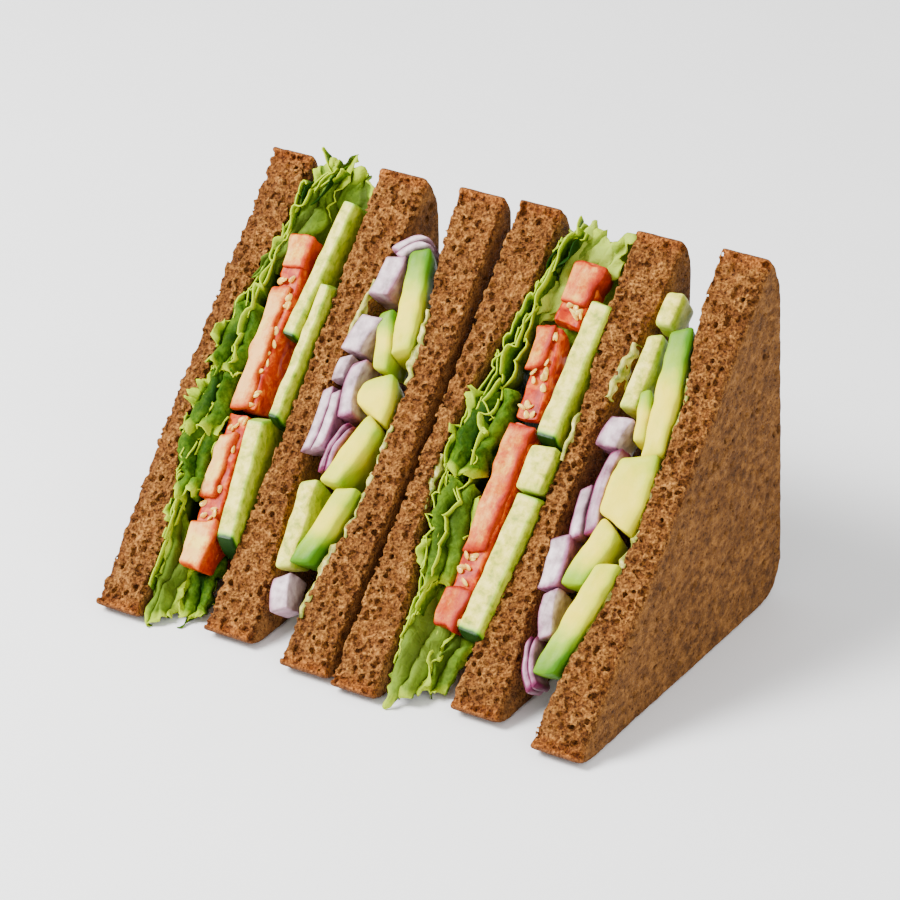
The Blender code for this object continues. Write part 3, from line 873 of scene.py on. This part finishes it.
def gel_material():
    material, tree, shader = new_material("tomato_gel")
    where = place(tree)
    cloud = texture(tree, where, 2.4, detail=4, distortion=0.6)
    colour = ramp(
        tree, cloud, (0.3, (0.20, 0.006, 0.001)), (0.5, (0.40, 0.024, 0.001)), (0.68, (0.62, 0.120, 0.006))
    )
    finish(tree, shader, colour, Roughness=0.36, Specular_IOR_Level=0.1, Subsurface_Weight=0.1,
           Subsurface_Radius=(1.0, 0.3, 0.1), Subsurface_Scale=0.002)
    bump(tree, shader, texture(tree, where, 2.2, detail=2), 0.3, 0.4)
    return material


def seed_material():
    material, tree, shader = new_material("tomato_seed")
    where = place(tree)
    colour = ramp(tree, texture(tree, where, 1.5), (0.35, (0.74, 0.34, 0.035)), (0.65, (0.86, 0.62, 0.12)))
    finish(tree, shader, colour, Roughness=0.2, Subsurface_Weight=0.2, Subsurface_Scale=0.001)
    return material


def add_seed(batch, centre, heading, length, rng):
    """One flattened pip, pointed at one end."""
    rings, around = 7, 10
    t = np.linspace(0, math.pi, rings)[1:-1]
    turn = np.arange(around) * 2 * math.pi / around
    side = np.cross(heading, rng.normal(size=3))
    side /= np.linalg.norm(side)
    flat = np.cross(heading, side)
    points = [-heading * length / 2]
    for angle in t:
        width = 0.34 * length * math.sin(angle) * (1 + 0.25 * math.cos(angle))
        middle = -heading * math.cos(angle) * length / 2
        points += [middle + side * width * math.cos(a) + flat * 0.45 * width * math.sin(a) for a in turn]
    points.append(heading * length / 2)
    last = len(points) - 1
    quads, triangles = [], []
    for i in range(around):
        j = (i + 1) % around
        triangles.append((0, 1 + j, 1 + i))
        triangles.append((last, last - around + i, last - around + j))
        for k in range(len(t) - 1):
            a = 1 + k * around
            quads.append((a + i, a + j, a + around + j, a + around + i))
    batch.add(np.array(points) + centre, np.array(quads), np.array(triangles))


def make_tomato(flesh_look, gel_look, seed_look):
    seeds = Batch()
    rng = np.random.default_rng(31)
    for number, pieces in TOMATO.items():
        name = f"tomato_{number}"
        where = section(name)
        gel = Batch()
        chunk, _ = disc_chunk(where, 0.97, recess=1.0, rough=0.6, seed=70 + number, radius=1.4)
        gel.add(chunk.points, chunk.quads)
        gel.make(name + "_gel", gel_look, "tomato")
        flesh = Batch()
        for index, piece in enumerate(pieces):
            size = ((piece.right - piece.left) / 2, (piece.high - piece.low) / 2)
            shift = ((piece.right + piece.left) / 2, (piece.high + piece.low) / 2)
            shallow = where._replace(depth=min(where.depth, 9.0), far_middle=where.middle)
            chunk = strip_chunk(shallow, size, shift, proud=0.5, radius=0.9, step=1.0, taper=0.9,
                                slants=piece.slants, wobble=0.24, rough=0.6, seed=90 + 7 * number + index)
            skin = np.maximum(smooth_step(chunk.u, 0.25, 1.0), smooth_step(np.abs(chunk.v), 0.80, 1.0))
            deeper = 0.24 if number > 2 else -0.04
            deeper += 0.16 if piece.high - piece.low < 0.6 else 0
            # painted shade: the flesh turns darker red farther into the sandwich; skin and the per-piece
            # amount are its own colour
            flesh.add(chunk.points, chunk.quads, red=0.06 + deeper + 0.5 * skin + 0.3 * chunk.w)
        flesh.make(name + "_flesh", flesh_look, "tomato", name)
        scatter_seeds(seeds, where, pieces, rng)
    seeds.make("tomato_seeds", seed_look, "tomato")


def scatter_seeds(batch, where, pieces, rng):
    """Pips that lie in the gel, where no firm flesh covers it."""
    for _ in range(int(where.half_long * 1.6)):
        across, along = rng.uniform(-0.8, 0.85), rng.uniform(-0.95, 0.95)
        if any(p.low - 0.02 < along < p.high + 0.02 and p.left < across < p.right - 0.15 for p in pieces):
            continue
        spot = where.middle + across * where.half_thick * where.across + along * where.half_long * where.along
        spot[1] += rng.uniform(0.3, 1.0)
        heading = where.along * rng.normal(1, 0.5) + where.across * rng.normal(0, 0.8)
        heading = heading + np.array([0, rng.normal(0, 0.3), 0])
        heading = heading @ np.stack([ACROSS, INWARD, UPWARD])
        add_seed(batch, from_cut(spot), heading / np.linalg.norm(heading), rng.uniform(2.2, 3.1), rng)


# ---- behind: pieces that show from the crusts


def node_box(name):
    """The middle and the sides of a node's box, in mm."""
    low, high = (np.array(corner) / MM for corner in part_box(name))
    return (low + high) / 2, high - low


def disc_behind(name):
    """A round slice that fills its node's box, and how far out each point is, from 0 to 1."""
    middle, sides = node_box(name)
    points, quads, unit = rounded_box(tuple(sides), 0.001, 1.25)
    u, w, v = unit.T
    reach = np.maximum(np.abs(w), np.abs(v))
    rounded = sides[1] / 2 * reach / np.maximum(np.hypot(w, v), 1e-6)
    soften = 1 - 0.12 * smooth_step(reach, 0.9, 1.0)
    points = np.stack([u * sides[0] / 2 * soften, w * rounded, v * rounded], axis=1) + middle
    return points + unevenness(points, 3.5, 0.2, 5), quads, reach


def make_behind(looks):
    """The discs and strips that lie deep in the sandwich, seen from its back."""
    for name in ("cucumber_6", "cucumber_7", "tomato_6", "tomato_7"):
        slot = name.split("_")[0]
        points, quads, reach = disc_behind(name)
        below = node_box(name)[1][1] / 2 * (1 - reach)
        batch = Batch()
        if slot == "cucumber":
            batch.add(points, quads, below_skin=below, side=np.zeros(len(points)))
        else:
            skin = 1 - smooth_step(below, 0.2, 1.0)
            batch.add(points, quads, red=0.3 + 0.6 * skin + 0.25 * np.sin(reach * 9))
        batch.make(name + "_slice", looks[slot], slot, name)
    for name in ("avocado_11", "avocado_12", "onion_15", "onion_16"):
        slot = name.split("_")[0]
        middle, sides = node_box(name)
        points, quads, unit = rounded_box(tuple(sides), 0.9, 1.4)
        u, w, v = unit.T
        points = points * (1 - 0.12 * ((w + 1) / 2) ** 2)[:, None] + middle
        points += unevenness(points, 4.0, 0.3, 9)
        batch = Batch()
        if slot == "avocado":
            batch.add(points, quads, green=avocado_green(BEHIND, v, u))
            batch.make(name + "_wedge", looks[slot], slot, name)
        else:
            batch.add(points, quads, purple=0.2 + 0.6 * smooth_step(-u, 0.3, 1.0))
            batch.make(name + "_layers", looks[slot], slot, name)


# ---- lettuce

LEAF_THICKNESS = 0.34
LEAF_DEPTH = 15.0  # how far in from its edge a ruffled leaf reaches
SPACE_SAMPLES = 48
CORE_SHRINK = 0.9  # how far inside its node the dark core lies
CORE_RECESS = 6.0  # how far behind the cut it starts
CORE_FROM_BACK = 5.0

# Ruffled leaves: the share of the room to their left, where they start and end along the border, and, along
# the cut, how far out of it they stand.
CUT_LEAVES = ((0.08, 8, 138, 0.2), (0.34, 20, 146, -0.8), (0.62, 26, 143, 0.3), (0.90, 24, 142, 1.1))
BACK_LEAVES = ((0.25, 6, 100), (0.75, 14, 103))


def lettuce_material():
    material, tree, shader = new_material("lettuce_leaf")
    where = place(tree)
    patch = texture(tree, where, 7.0, detail=3)
    fine = texture(tree, where, 1.4, detail=4)
    blade = ramp(
        tree, patch, (0.3, (0.020, 0.066, 0.002)), (0.5, (0.056, 0.135, 0.003)), (0.7, (0.130, 0.235, 0.004))
    )
    grain = ramp(tree, fine, (0.38, (0.014, 0.050, 0.001)), (0.62, (0.165, 0.280, 0.005)))
    blade = mix(tree, 0.35, blade, grain)
    from_edge = maths(tree, "DIVIDE", attribute(tree, "edge"), 10.0)
    # painted shade: the blade turns near black green farther in from the leaf's free edge
    blade = mix(tree, ramp(tree, from_edge, (0.14, 0.0), (0.7, 1.0)), blade, (0.006, 0.027, 0.001))
    # painted highlight: a lime line along each leaf's free edge
    edge = ramp(tree, from_edge, (0.0, 1.0), (0.07, 0.7), (0.19, 0.0))
    colour = mix(tree, edge, blade, (0.38, 0.50, 0.010))
    colour = mix(tree, attribute(tree, "pale"), colour, (0.36, 0.46, 0.050))
    finish(tree, shader, colour, Roughness=0.6, Specular_IOR_Level=0.05, Subsurface_Weight=0.1,
           Subsurface_Radius=(0.5, 1.0, 0.2), Subsurface_Scale=0.001)
    veins = cells(tree, where, 2.6, "DISTANCE_TO_EDGE")
    bump(tree, shader, ramp(tree, veins, (0.0, 0.0), (0.18, 1.0)), 0.35, 0.3)
    return material


def add_sheet(batch, grid, edge, pale=0.0):
    """A closed leaf of even thickness on a grid of points, (rows, columns, 3), in the row frame."""
    rows, columns, _ = grid.shape
    normal = np.cross(np.gradient(grid, axis=0), np.gradient(grid, axis=1))
    normal /= np.maximum(np.linalg.norm(normal, axis=2, keepdims=True), 1e-9)
    upper = (grid + normal * LEAF_THICKNESS / 2).reshape(-1, 3)
    lower = (grid - normal * LEAF_THICKNESS / 2).reshape(-1, 3)
    edges = np.tile(np.broadcast_to(edge, (rows, columns)).ravel(), 2)
    faces = shell_faces(rows, columns)
    # edge, the distance from the free edge, sets the leaf's painted highlight and painted shade
    batch.add(np.concatenate([upper, lower]), faces, edge=edges, pale=np.full(len(edges), pale))


Border = namedtuple("Border", "start along inward length")
CUT_BORDER = Border(CUT_ORIGIN, UPWARD, INWARD, CUT)
BACK_BORDER = Border(
    np.array([0.0, FRONT + CRUST - 1.0, 0.0]), np.array([0.0, 0.0, 1.0]), np.array([0.0, -1.0, 0.0]), CRUST
)


class Space:
    """The room across the stack between two walls, at every place along a border."""

    def __init__(self, left, right, border, depth):
        self.places = np.linspace(0, border.length, SPACE_SAMPLES)
        spots = border.start + np.outer(self.places, border.along) + depth * border.inward
        _, d, h = to_cut(spots).T
        self.left_x = left.across(d, h)
        self.right_x = right.across(d, h)

    def at(self, along):
        left = np.interp(along, self.places, self.left_x)
        return left, np.interp(along, self.places, self.right_x)


def ruffled_leaf(batch, border, space, low, high, share, seed, ruffle_seed, wave, swing, out):
    """A leaf whose free edge runs along a border and is ruffled, more and more towards the edge.

    Leaves with the same ruffle seed lie in one another's folds."""
    columns = 12
    rows = int((high - low) / 0.8)
    along = np.linspace(low, high, rows)[:, None]
    room_inward = 0.92 * np.minimum(along, border.length - along) + 3.0
    below_edge = np.minimum(LEAF_DEPTH, room_inward) * np.linspace(0, 1, columns)[None, :] ** 1.35
    left, right = space.at(along)
    room = (right - left) / 2
    phase = 2 * math.pi * along / wave + 3.0 * wander(along, 17.0, ruffle_seed)
    phase = phase + 2.0 * wander(along, 12.0, seed)
    fade = np.exp(-below_edge / 5.0)
    lip = swing * np.minimum(room, 6.0) * (0.75 + 0.6 * wander(along, 11.0, seed + 3))
    swerve = 0.45 * np.sin(phase) + 1.3 * wander(along, 5.0, seed + 9)
    swerve = swerve + 0.6 * wander(along, 8.0, ruffle_seed + 9)
    x = left + 2 * room * share + lip * swerve * (0.2 + 0.8 * fade)
    shift = (4.2 * wander(along, 5.2, seed + 12) + 0.10 * wave * np.sin(2 * phase)) * fade
    edge = -out + 3.0 * wander(along, 7.0, seed + 5) + 0.7 * wander(along, 2.2, seed + 6)
    inward = np.maximum(edge, -out - 1.2) * (1 - below_edge / LEAF_DEPTH) + below_edge
    x = left + 0.35 + np.abs(x - left - 0.35)
    x = right - 0.35 - np.abs(right - 0.35 - x)
    grid = border.start + (along + shift)[..., None] * border.along + inward[..., None] * border.inward
    grid = grid + x[..., None] * ACROSS
    flat = grid.reshape(-1, 3)
    flat = flat + unevenness(flat, 2.8, 0.4, seed)
    add_sheet(batch, keep_inside(flat).reshape(grid.shape), below_edge + 0 * along)


def keep_inside(points):
    """Points held above the ground and in front of the sandwich's back."""
    points = points.copy()
    points[:, 1] = np.minimum(points[:, 1], FRONT + CRUST - 0.8)
    points[:, 2] = np.clip(points[:, 2], 0.35, CAD_BOUNDS[1][2] / MM - 0.4)
    return points


def flap(batch, corners, space, seed, spikes, pleats, ruffle, pale):
    """A broad leaf over three rows of three places, each (share of the space, d, h).

    Its last row is its tip, where spikes, (place along the row, length), stick out."""
    count = 40
    s = np.linspace(0, 1, count)
    weights = np.stack([(1 - s) ** 2, 2 * s * (1 - s), s**2], axis=1)
    nets = np.einsum("ri,cj,ijk->rck", weights, weights, np.array(corners, float))
    share, d, h = nets[..., 0], nets[..., 1], nets[..., 2]
    up, over = s[:, None] + 0 * s[None, :], s[None, :] + 0 * s[:, None]
    way = np.sign(h[-1].mean() - h[0].mean())
    for spot, length in spikes:
        h = h + way * length * np.exp(-(((over - spot) / 0.10) ** 2)) * up**3
    left, right = space.at(h)
    x = left + (right - left) * share
    size = 16.0
    edge = size * np.minimum(np.minimum(1 - up, 1.2 * up + 0.1), np.minimum(over, 1 - over))
    round_edge = np.arctan2(up - 0.5, over - 0.5) * size
    wavy = np.sin(2 * math.pi * round_edge / 7.0 + 5 * wander(round_edge, 6.0, seed))
    wavy = wavy + 1.8 * wander(round_edge, 5.0, seed + 2)
    fold = 2 * math.pi * 2.6 * over + 2.5 * wander(12 * up, 6.0, seed + 5)
    fold = fold + 1.5 * wander(14 * over, 5.0, seed + 6)
    push = 0.5 * ruffle * wavy * np.exp(-edge / 3.0) + pleats * np.sin(fold)
    grid = from_cut(np.stack([x + 0.5 * pleats * np.cos(fold), d + push, h], axis=-1).reshape(-1, 3))
    grid += unevenness(grid, 6.0, 1.8, seed) + unevenness(grid, 2.4, 0.75, seed + 8)
    ragged = np.exp(-edge.reshape(-1, 1) / 1.5)
    grid += ragged * unevenness(grid, 2.2, 1.6, seed + 4)
    # painted shade in the valleys of the folds, given as extra distance from the edge
    hollow = 8.0 * np.maximum(np.sin(fold), 0) * (1 - pale)
    add_sheet(batch, keep_inside(grid).reshape(count, count, 3), edge + hollow, pale)


def add_shade_core(batch, name):
    """A smaller dark body behind the leaves, painted shade for the depths between them."""
    field = Field(*node_mesh(name))
    index, places = field.near_skin(BAND)
    behind_cut = to_cut(places)[:, 1]
    from_back = FRONT + CRUST - places[:, 1]
    values = field.values[tuple(index.T)] + CORE_SHRINK + 0.5 * noise(places, 5.0, 3)
    values = np.maximum(values, CORE_RECESS - behind_cut)
    field.values[tuple(index.T)] = np.maximum(values, CORE_FROM_BACK - from_back)
    points, triangles, quads = field.skin(1.0)
    # an edge of 30 gives the core the darkest blade colour: painted shade
    batch.add(points, triangles, quads, edge=np.full(len(points), 30.0), pale=np.zeros(len(points)))


Flap = namedtuple("Flap", "seed spikes pleats ruffle pale rows")


def bunch(seed, top, reach):
    """A short, deeply folded leaf that hangs from a place up the cut."""
    return Flap(seed, ((0.4, 3),), 1.9, 2.2, 0.0, (
        ((0.03, 1, top), (0.20, 0, top + 3), (reach, 4, top)),
        ((-0.06, -1, top - 9), (0.22, -2, top - 8), (reach + 0.02, 3, top - 9)),
        ((-0.02, 0, top - 19), (0.18, -2, top - 22), (reach - 0.04, 3, top - 19)),
    ))


# The broad leaves of each lettuce, most of them at the top and bottom of the cut.
FLAPS = {
    1: (
        Flap(81, ((0.40, 4), (0.62, 4), (0.80, 3), (0.94, 2)), 0.8, 1.4, 0.12, (
            ((0.10, 8, 100), (0.50, 10, 106), (0.95, 12, 112)),
            ((0.05, 6, 124), (0.50, 8, 124), (0.98, 9, 126)),
            ((0.10, 5, 138), (0.62, 2, 146), (0.98, 5, 138)),
        )),
        Flap(82, ((0.9, 3),), 0.6, 1.4, 0.12, (
            ((0.02, 1, 106), (0.15, 3, 106), (0.30, 7, 108)),
            ((0.02, -1, 122), (0.30, 0, 118), (0.50, 5, 122)),
            ((0.04, 2, 138), (0.25, 2, 144), (0.62, 3, 147)),
        )),
        Flap(83, ((0.35, 4),), 1.1, 1.4, 0.14, (
            ((0.02, 0, 36), (0.10, 4, 34), (0.30, 8, 30)),
            ((0.02, 1, 14), (0.16, 3, 12), (0.42, 7, 12)),
            ((0.02, 2, 3), (0.22, 3, 1), (0.44, 6, 3)),
        )),
        Flap(87, ((0.5, 4),), 1.1, 1.4, 0.0, (
            ((0.30, 9, 30), (0.45, 11, 30), (0.80, 13, 28)),
            ((0.34, 8, 16), (0.60, 9, 14), (0.86, 11, 14)),
            ((0.40, 6, 6), (0.62, 7, 3), (0.80, 9, 7)),
        )),
        bunch(91, 96, 0.46), bunch(92, 76, 0.42), bunch(93, 57, 0.40),
    ),
    2: (
        Flap(88, ((0.3, 2), (0.9, 3)), 0.8, 1.4, 0.3, (
            ((0.05, 9, 104), (0.50, 11, 108), (1.06, 12, 110)),
            ((0.05, 6, 128), (0.50, 8, 128), (1.08, 9, 126)),
            ((0.10, 5, 142), (0.62, 3, 142), (1.06, 5, 145)),
        )),
        Flap(84, ((0.30, 5), (0.92, 2)), 0.5, 1.4, 0.75, (
            ((0.10, 4, 112), (0.32, 6, 116), (0.60, 8, 120)),
            ((0.16, 2, 132), (0.50, 3, 130), (0.90, 6, 134)),
            ((0.22, 3, 146), (0.50, 2, 143), (0.97, 4, 143)),
        )),
        Flap(85, ((0.3, 5),), 1.5, 1.4, 0.22, (
            ((0.04, 2, 40), (0.20, 4, 36), (0.48, 8, 34)),
            ((0.02, 1, 18), (0.22, 2, 14), (0.55, 6, 16)),
            ((0.04, 2, 2), (0.22, 1, -3), (0.50, 5, 4)),
        )),
        Flap(89, ((0.5, 3),), 1.1, 1.4, 0.1, (
            ((0.40, 8, 34), (0.60, 10, 32), (0.90, 12, 30)),
            ((0.40, 7, 18), (0.62, 8, 16), (0.90, 10, 16)),
            ((0.44, 6, 6), (0.62, 6, 4), (0.84, 8, 8)),
        )),
        Flap(86, ((0.4, 3),), 1.7, 2.0, 0.05, (
            ((0.05, 2, 64), (0.25, 1, 66), (0.45, 5, 64)),
            ((0.04, -1, 50), (0.26, -1, 50), (0.46, 4, 50)),
            ((0.04, 1, 36), (0.22, -1, 32), (0.42, 4, 36)),
        )),
        Flap(94, ((0.5, 3),), 2.0, 2.4, 0.0, (
            ((0.04, 2, 92), (0.20, 1, 94), (0.44, 5, 92)),
            ((-0.02, 0, 80), (0.24, -1, 80), (0.46, 4, 80)),
            ((0.02, 1, 68), (0.20, -1, 64), (0.42, 4, 68)),
        )),
    ),
}


def make_lettuce(material):
    for number, first, second in ((1, "bread_1", "bread_2"), (2, "bread_4", "bread_5")):
        name = f"lettuce_{number}"
        leaves = Batch()
        heap = Space(Wall(name, "left"), Wall(name, "right"), CUT_BORDER, 6.0)
        room = Space(Wall(first, "right"), Wall(second, "left"), CUT_BORDER, 4.0)
        back = Space(Wall(name, "left"), Wall(name, "right"), BACK_BORDER, 6.0)
        for extra, (share, low, high, out) in enumerate(CUT_LEAVES):
            seed = 10 * number + extra
            ruffled_leaf(leaves, CUT_BORDER, heap, low, high, share, seed, number, 11.5, 0.85, out)
        for extra, (share, low, high) in enumerate(BACK_LEAVES):
            seed = 10 * number + 6 + extra
            ruffled_leaf(leaves, BACK_BORDER, back, low, high, share, seed, number + 4, 11.0, 0.5, -2.0)
        for leaf in FLAPS[number]:
            flap(leaves, leaf.rows, room, leaf.seed, leaf.spikes, leaf.pleats, leaf.ruffle, leaf.pale)
        leaves.make(name + "_leaves", material, "lettuce", name)
        core = Batch()
        add_shade_core(core, name)
        core.make(name + "_core", material, "lettuce")


# ---- spread

# Where the spread shows on a slice's side: from and to up the cut, and how far it stands out of the bread.
Smear = namedtuple("Smear", "bread side low high height")
SMEARS = (
    Smear("bread_6", "left", 20, 110, 1.5),
    Smear("bread_3", "left", 14, 74, 1.4),
    Smear("bread_3", "left", 86, 110, 0.9),
    Smear("bread_2", "right", 96, 114, 1.0),
    Smear("bread_5", "right", 98, 116, 0.8),
    Smear("bread_5", "left", 78, 92, 0.8),
    Smear("bread_4", "right", 52, 70, 0.7),
)
SPREAD_DEPTH = 9.0  # how far in from the cut it reaches
SPREAD_SUNK = 1.6  # how deep in the bread its inner face lies
SPREAD_LOWEST = 1.1  # how deep its outer face may go
SPREAD_STEP = 0.55


def spread_material():
    material, tree, shader = new_material("spread")
    where = place(tree)
    colour = ramp(
        tree, texture(tree, where, 2.6, detail=3),
        (0.34, (0.13, 0.16, 0.012)), (0.46, (0.30, 0.30, 0.030)), (0.58, (0.50, 0.45, 0.080)),
        (0.70, (0.80, 0.70, 0.26)),
    )
    finish(tree, shader, colour, Roughness=0.45, Specular_IOR_Level=0.4, Subsurface_Weight=0.3,
           Subsurface_Radius=(0.8, 0.8, 0.5), Subsurface_Scale=0.0015)
    bump(tree, shader, texture(tree, where, 0.7, detail=3), 0.4, 0.3)
    return material


def make_spread(material):
    """A film for each smear, its outer face in and out of the bread, so that it shows in patches."""
    batch = Batch()
    for seed, smear in enumerate(SMEARS):
        way = 1 if smear.side == "right" else -1
        heights = np.arange(smear.low, smear.high, SPREAD_STEP)
        depths = np.arange(0.6, SPREAD_DEPTH, SPREAD_STEP)
        h, d = (axis.ravel() for axis in np.meshgrid(heights, depths, indexing="ij"))
        wall = from_cut(np.stack([Wall(smear.bread, smear.side).across(d, h), d, h], axis=1))
        lumps = 0.7 * noise(wall, 3.4, seed) + 0.3 * noise(wall, 1.5, seed + 20)
        lumps = lumps + 0.9 * noise(wall, 9.0, seed + 40)
        ends = smooth_step(np.minimum(h - smear.low, smear.high - h), 0, 5)
        fade = ends * smooth_step(SPREAD_DEPTH - d, 0, 3)
        out = np.maximum(-0.7 + fade * (0.5 + smear.height * lumps), -SPREAD_LOWEST)
        wall += unevenness(wall, 2.2, 0.8, seed + 60)
        outer = wall + way * out[:, None] * ACROSS
        inner = wall - way * SPREAD_SUNK * ACROSS
        faces = shell_faces(len(heights), len(depths))
        batch.add(np.concatenate([outer, inner]), faces if way > 0 else faces[:, ::-1])
    batch.make("spread", material, "avocado")


# ---- stage


def aim(obj, target):
    obj.rotation_euler = (Vector(target) - obj.location).to_track_quat("-Z", "Y").to_euler()


def make_stage():
    half = 3000.0
    points = np.array([(-half, -half, 0), (half, -half, 0), (half, half, 0), (-half, half, 0)])
    material, tree, shader = new_material("studio_floor")
    where = place(tree)
    colour = ramp(tree, texture(tree, where, 60.0), (0.3, (0.93, 0.93, 0.93)), (0.7, (0.95, 0.95, 0.95)))
    finish(tree, shader, colour, Roughness=0.55)
    mesh_object("floor", points, (np.array([[0, 1, 2, 3]]),), material)


def area_light(name, location, size, power):
    data = bpy.data.lights.new(name, "AREA")
    data.shape = "SQUARE"
    data.size = size
    data.energy = power
    light = bpy.data.objects.new(name, data)
    light.location = location
    bpy.context.scene.collection.objects.link(light)
    aim(light, (0, 0, 0.05))


def make_lights():
    area_light("key", (-0.66, -0.50, 0.90), 0.48, 41)
    area_light("fill", (1.4, -0.9, 0.9), 1.2, 16)
    world = bpy.data.worlds.new("studio")
    world.use_nodes = True
    background = world.node_tree.nodes["Background"]
    background.inputs["Color"].default_value = (1, 1, 1, 1)
    background.inputs["Strength"].default_value = 1.05
    bpy.context.scene.world = world


# The camera looks at a place given in mm from the stack's left end, the start of the cut and its foot.
VIEW_TARGET = (93.2, 47.6, 52.5)
VIEW_LENS = 163.0
VIEW_AZIMUTH = math.radians(30)
VIEW_ELEVATION = math.radians(30)
VIEW_DISTANCE = 1.137


def make_camera():
    start = (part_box("bread_1")[0].x / MM, FRONT + BLUNT, BLUNT)
    target = Vector([(a + b) * MM for a, b in zip(start, VIEW_TARGET)])
    data = bpy.data.cameras.new("camera")
    data.lens = VIEW_LENS
    data.sensor_width = 36
    data.clip_start = 0.01
    camera = bpy.data.objects.new("camera", data)
    level = VIEW_DISTANCE * math.cos(VIEW_ELEVATION)
    height = VIEW_DISTANCE * math.sin(VIEW_ELEVATION)
    away = Vector((level * math.sin(VIEW_AZIMUTH), -level * math.cos(VIEW_AZIMUTH), height))
    camera.location = target + away
    bpy.context.scene.collection.objects.link(camera)
    aim(camera, target)
    bpy.context.scene.camera = camera


def main():
    make_camera()
    make_stage()
    make_lights()
    bread = bread_material()
    for number in range(len(SLICES)):
        make_slice(number, bread)
    looks = {
        "avocado": avocado_material(), "onion": onion_material(), "cucumber": cucumber_material(),
        "tomato": tomato_material(),
    }
    make_avocado(looks["avocado"])
    make_onion(looks["onion"])
    make_cucumber(looks["cucumber"])
    make_tomato(looks["tomato"], gel_material(), seed_material())
    make_behind(looks)
    make_lettuce(lettuce_material())
    make_spread(spread_material())


main()
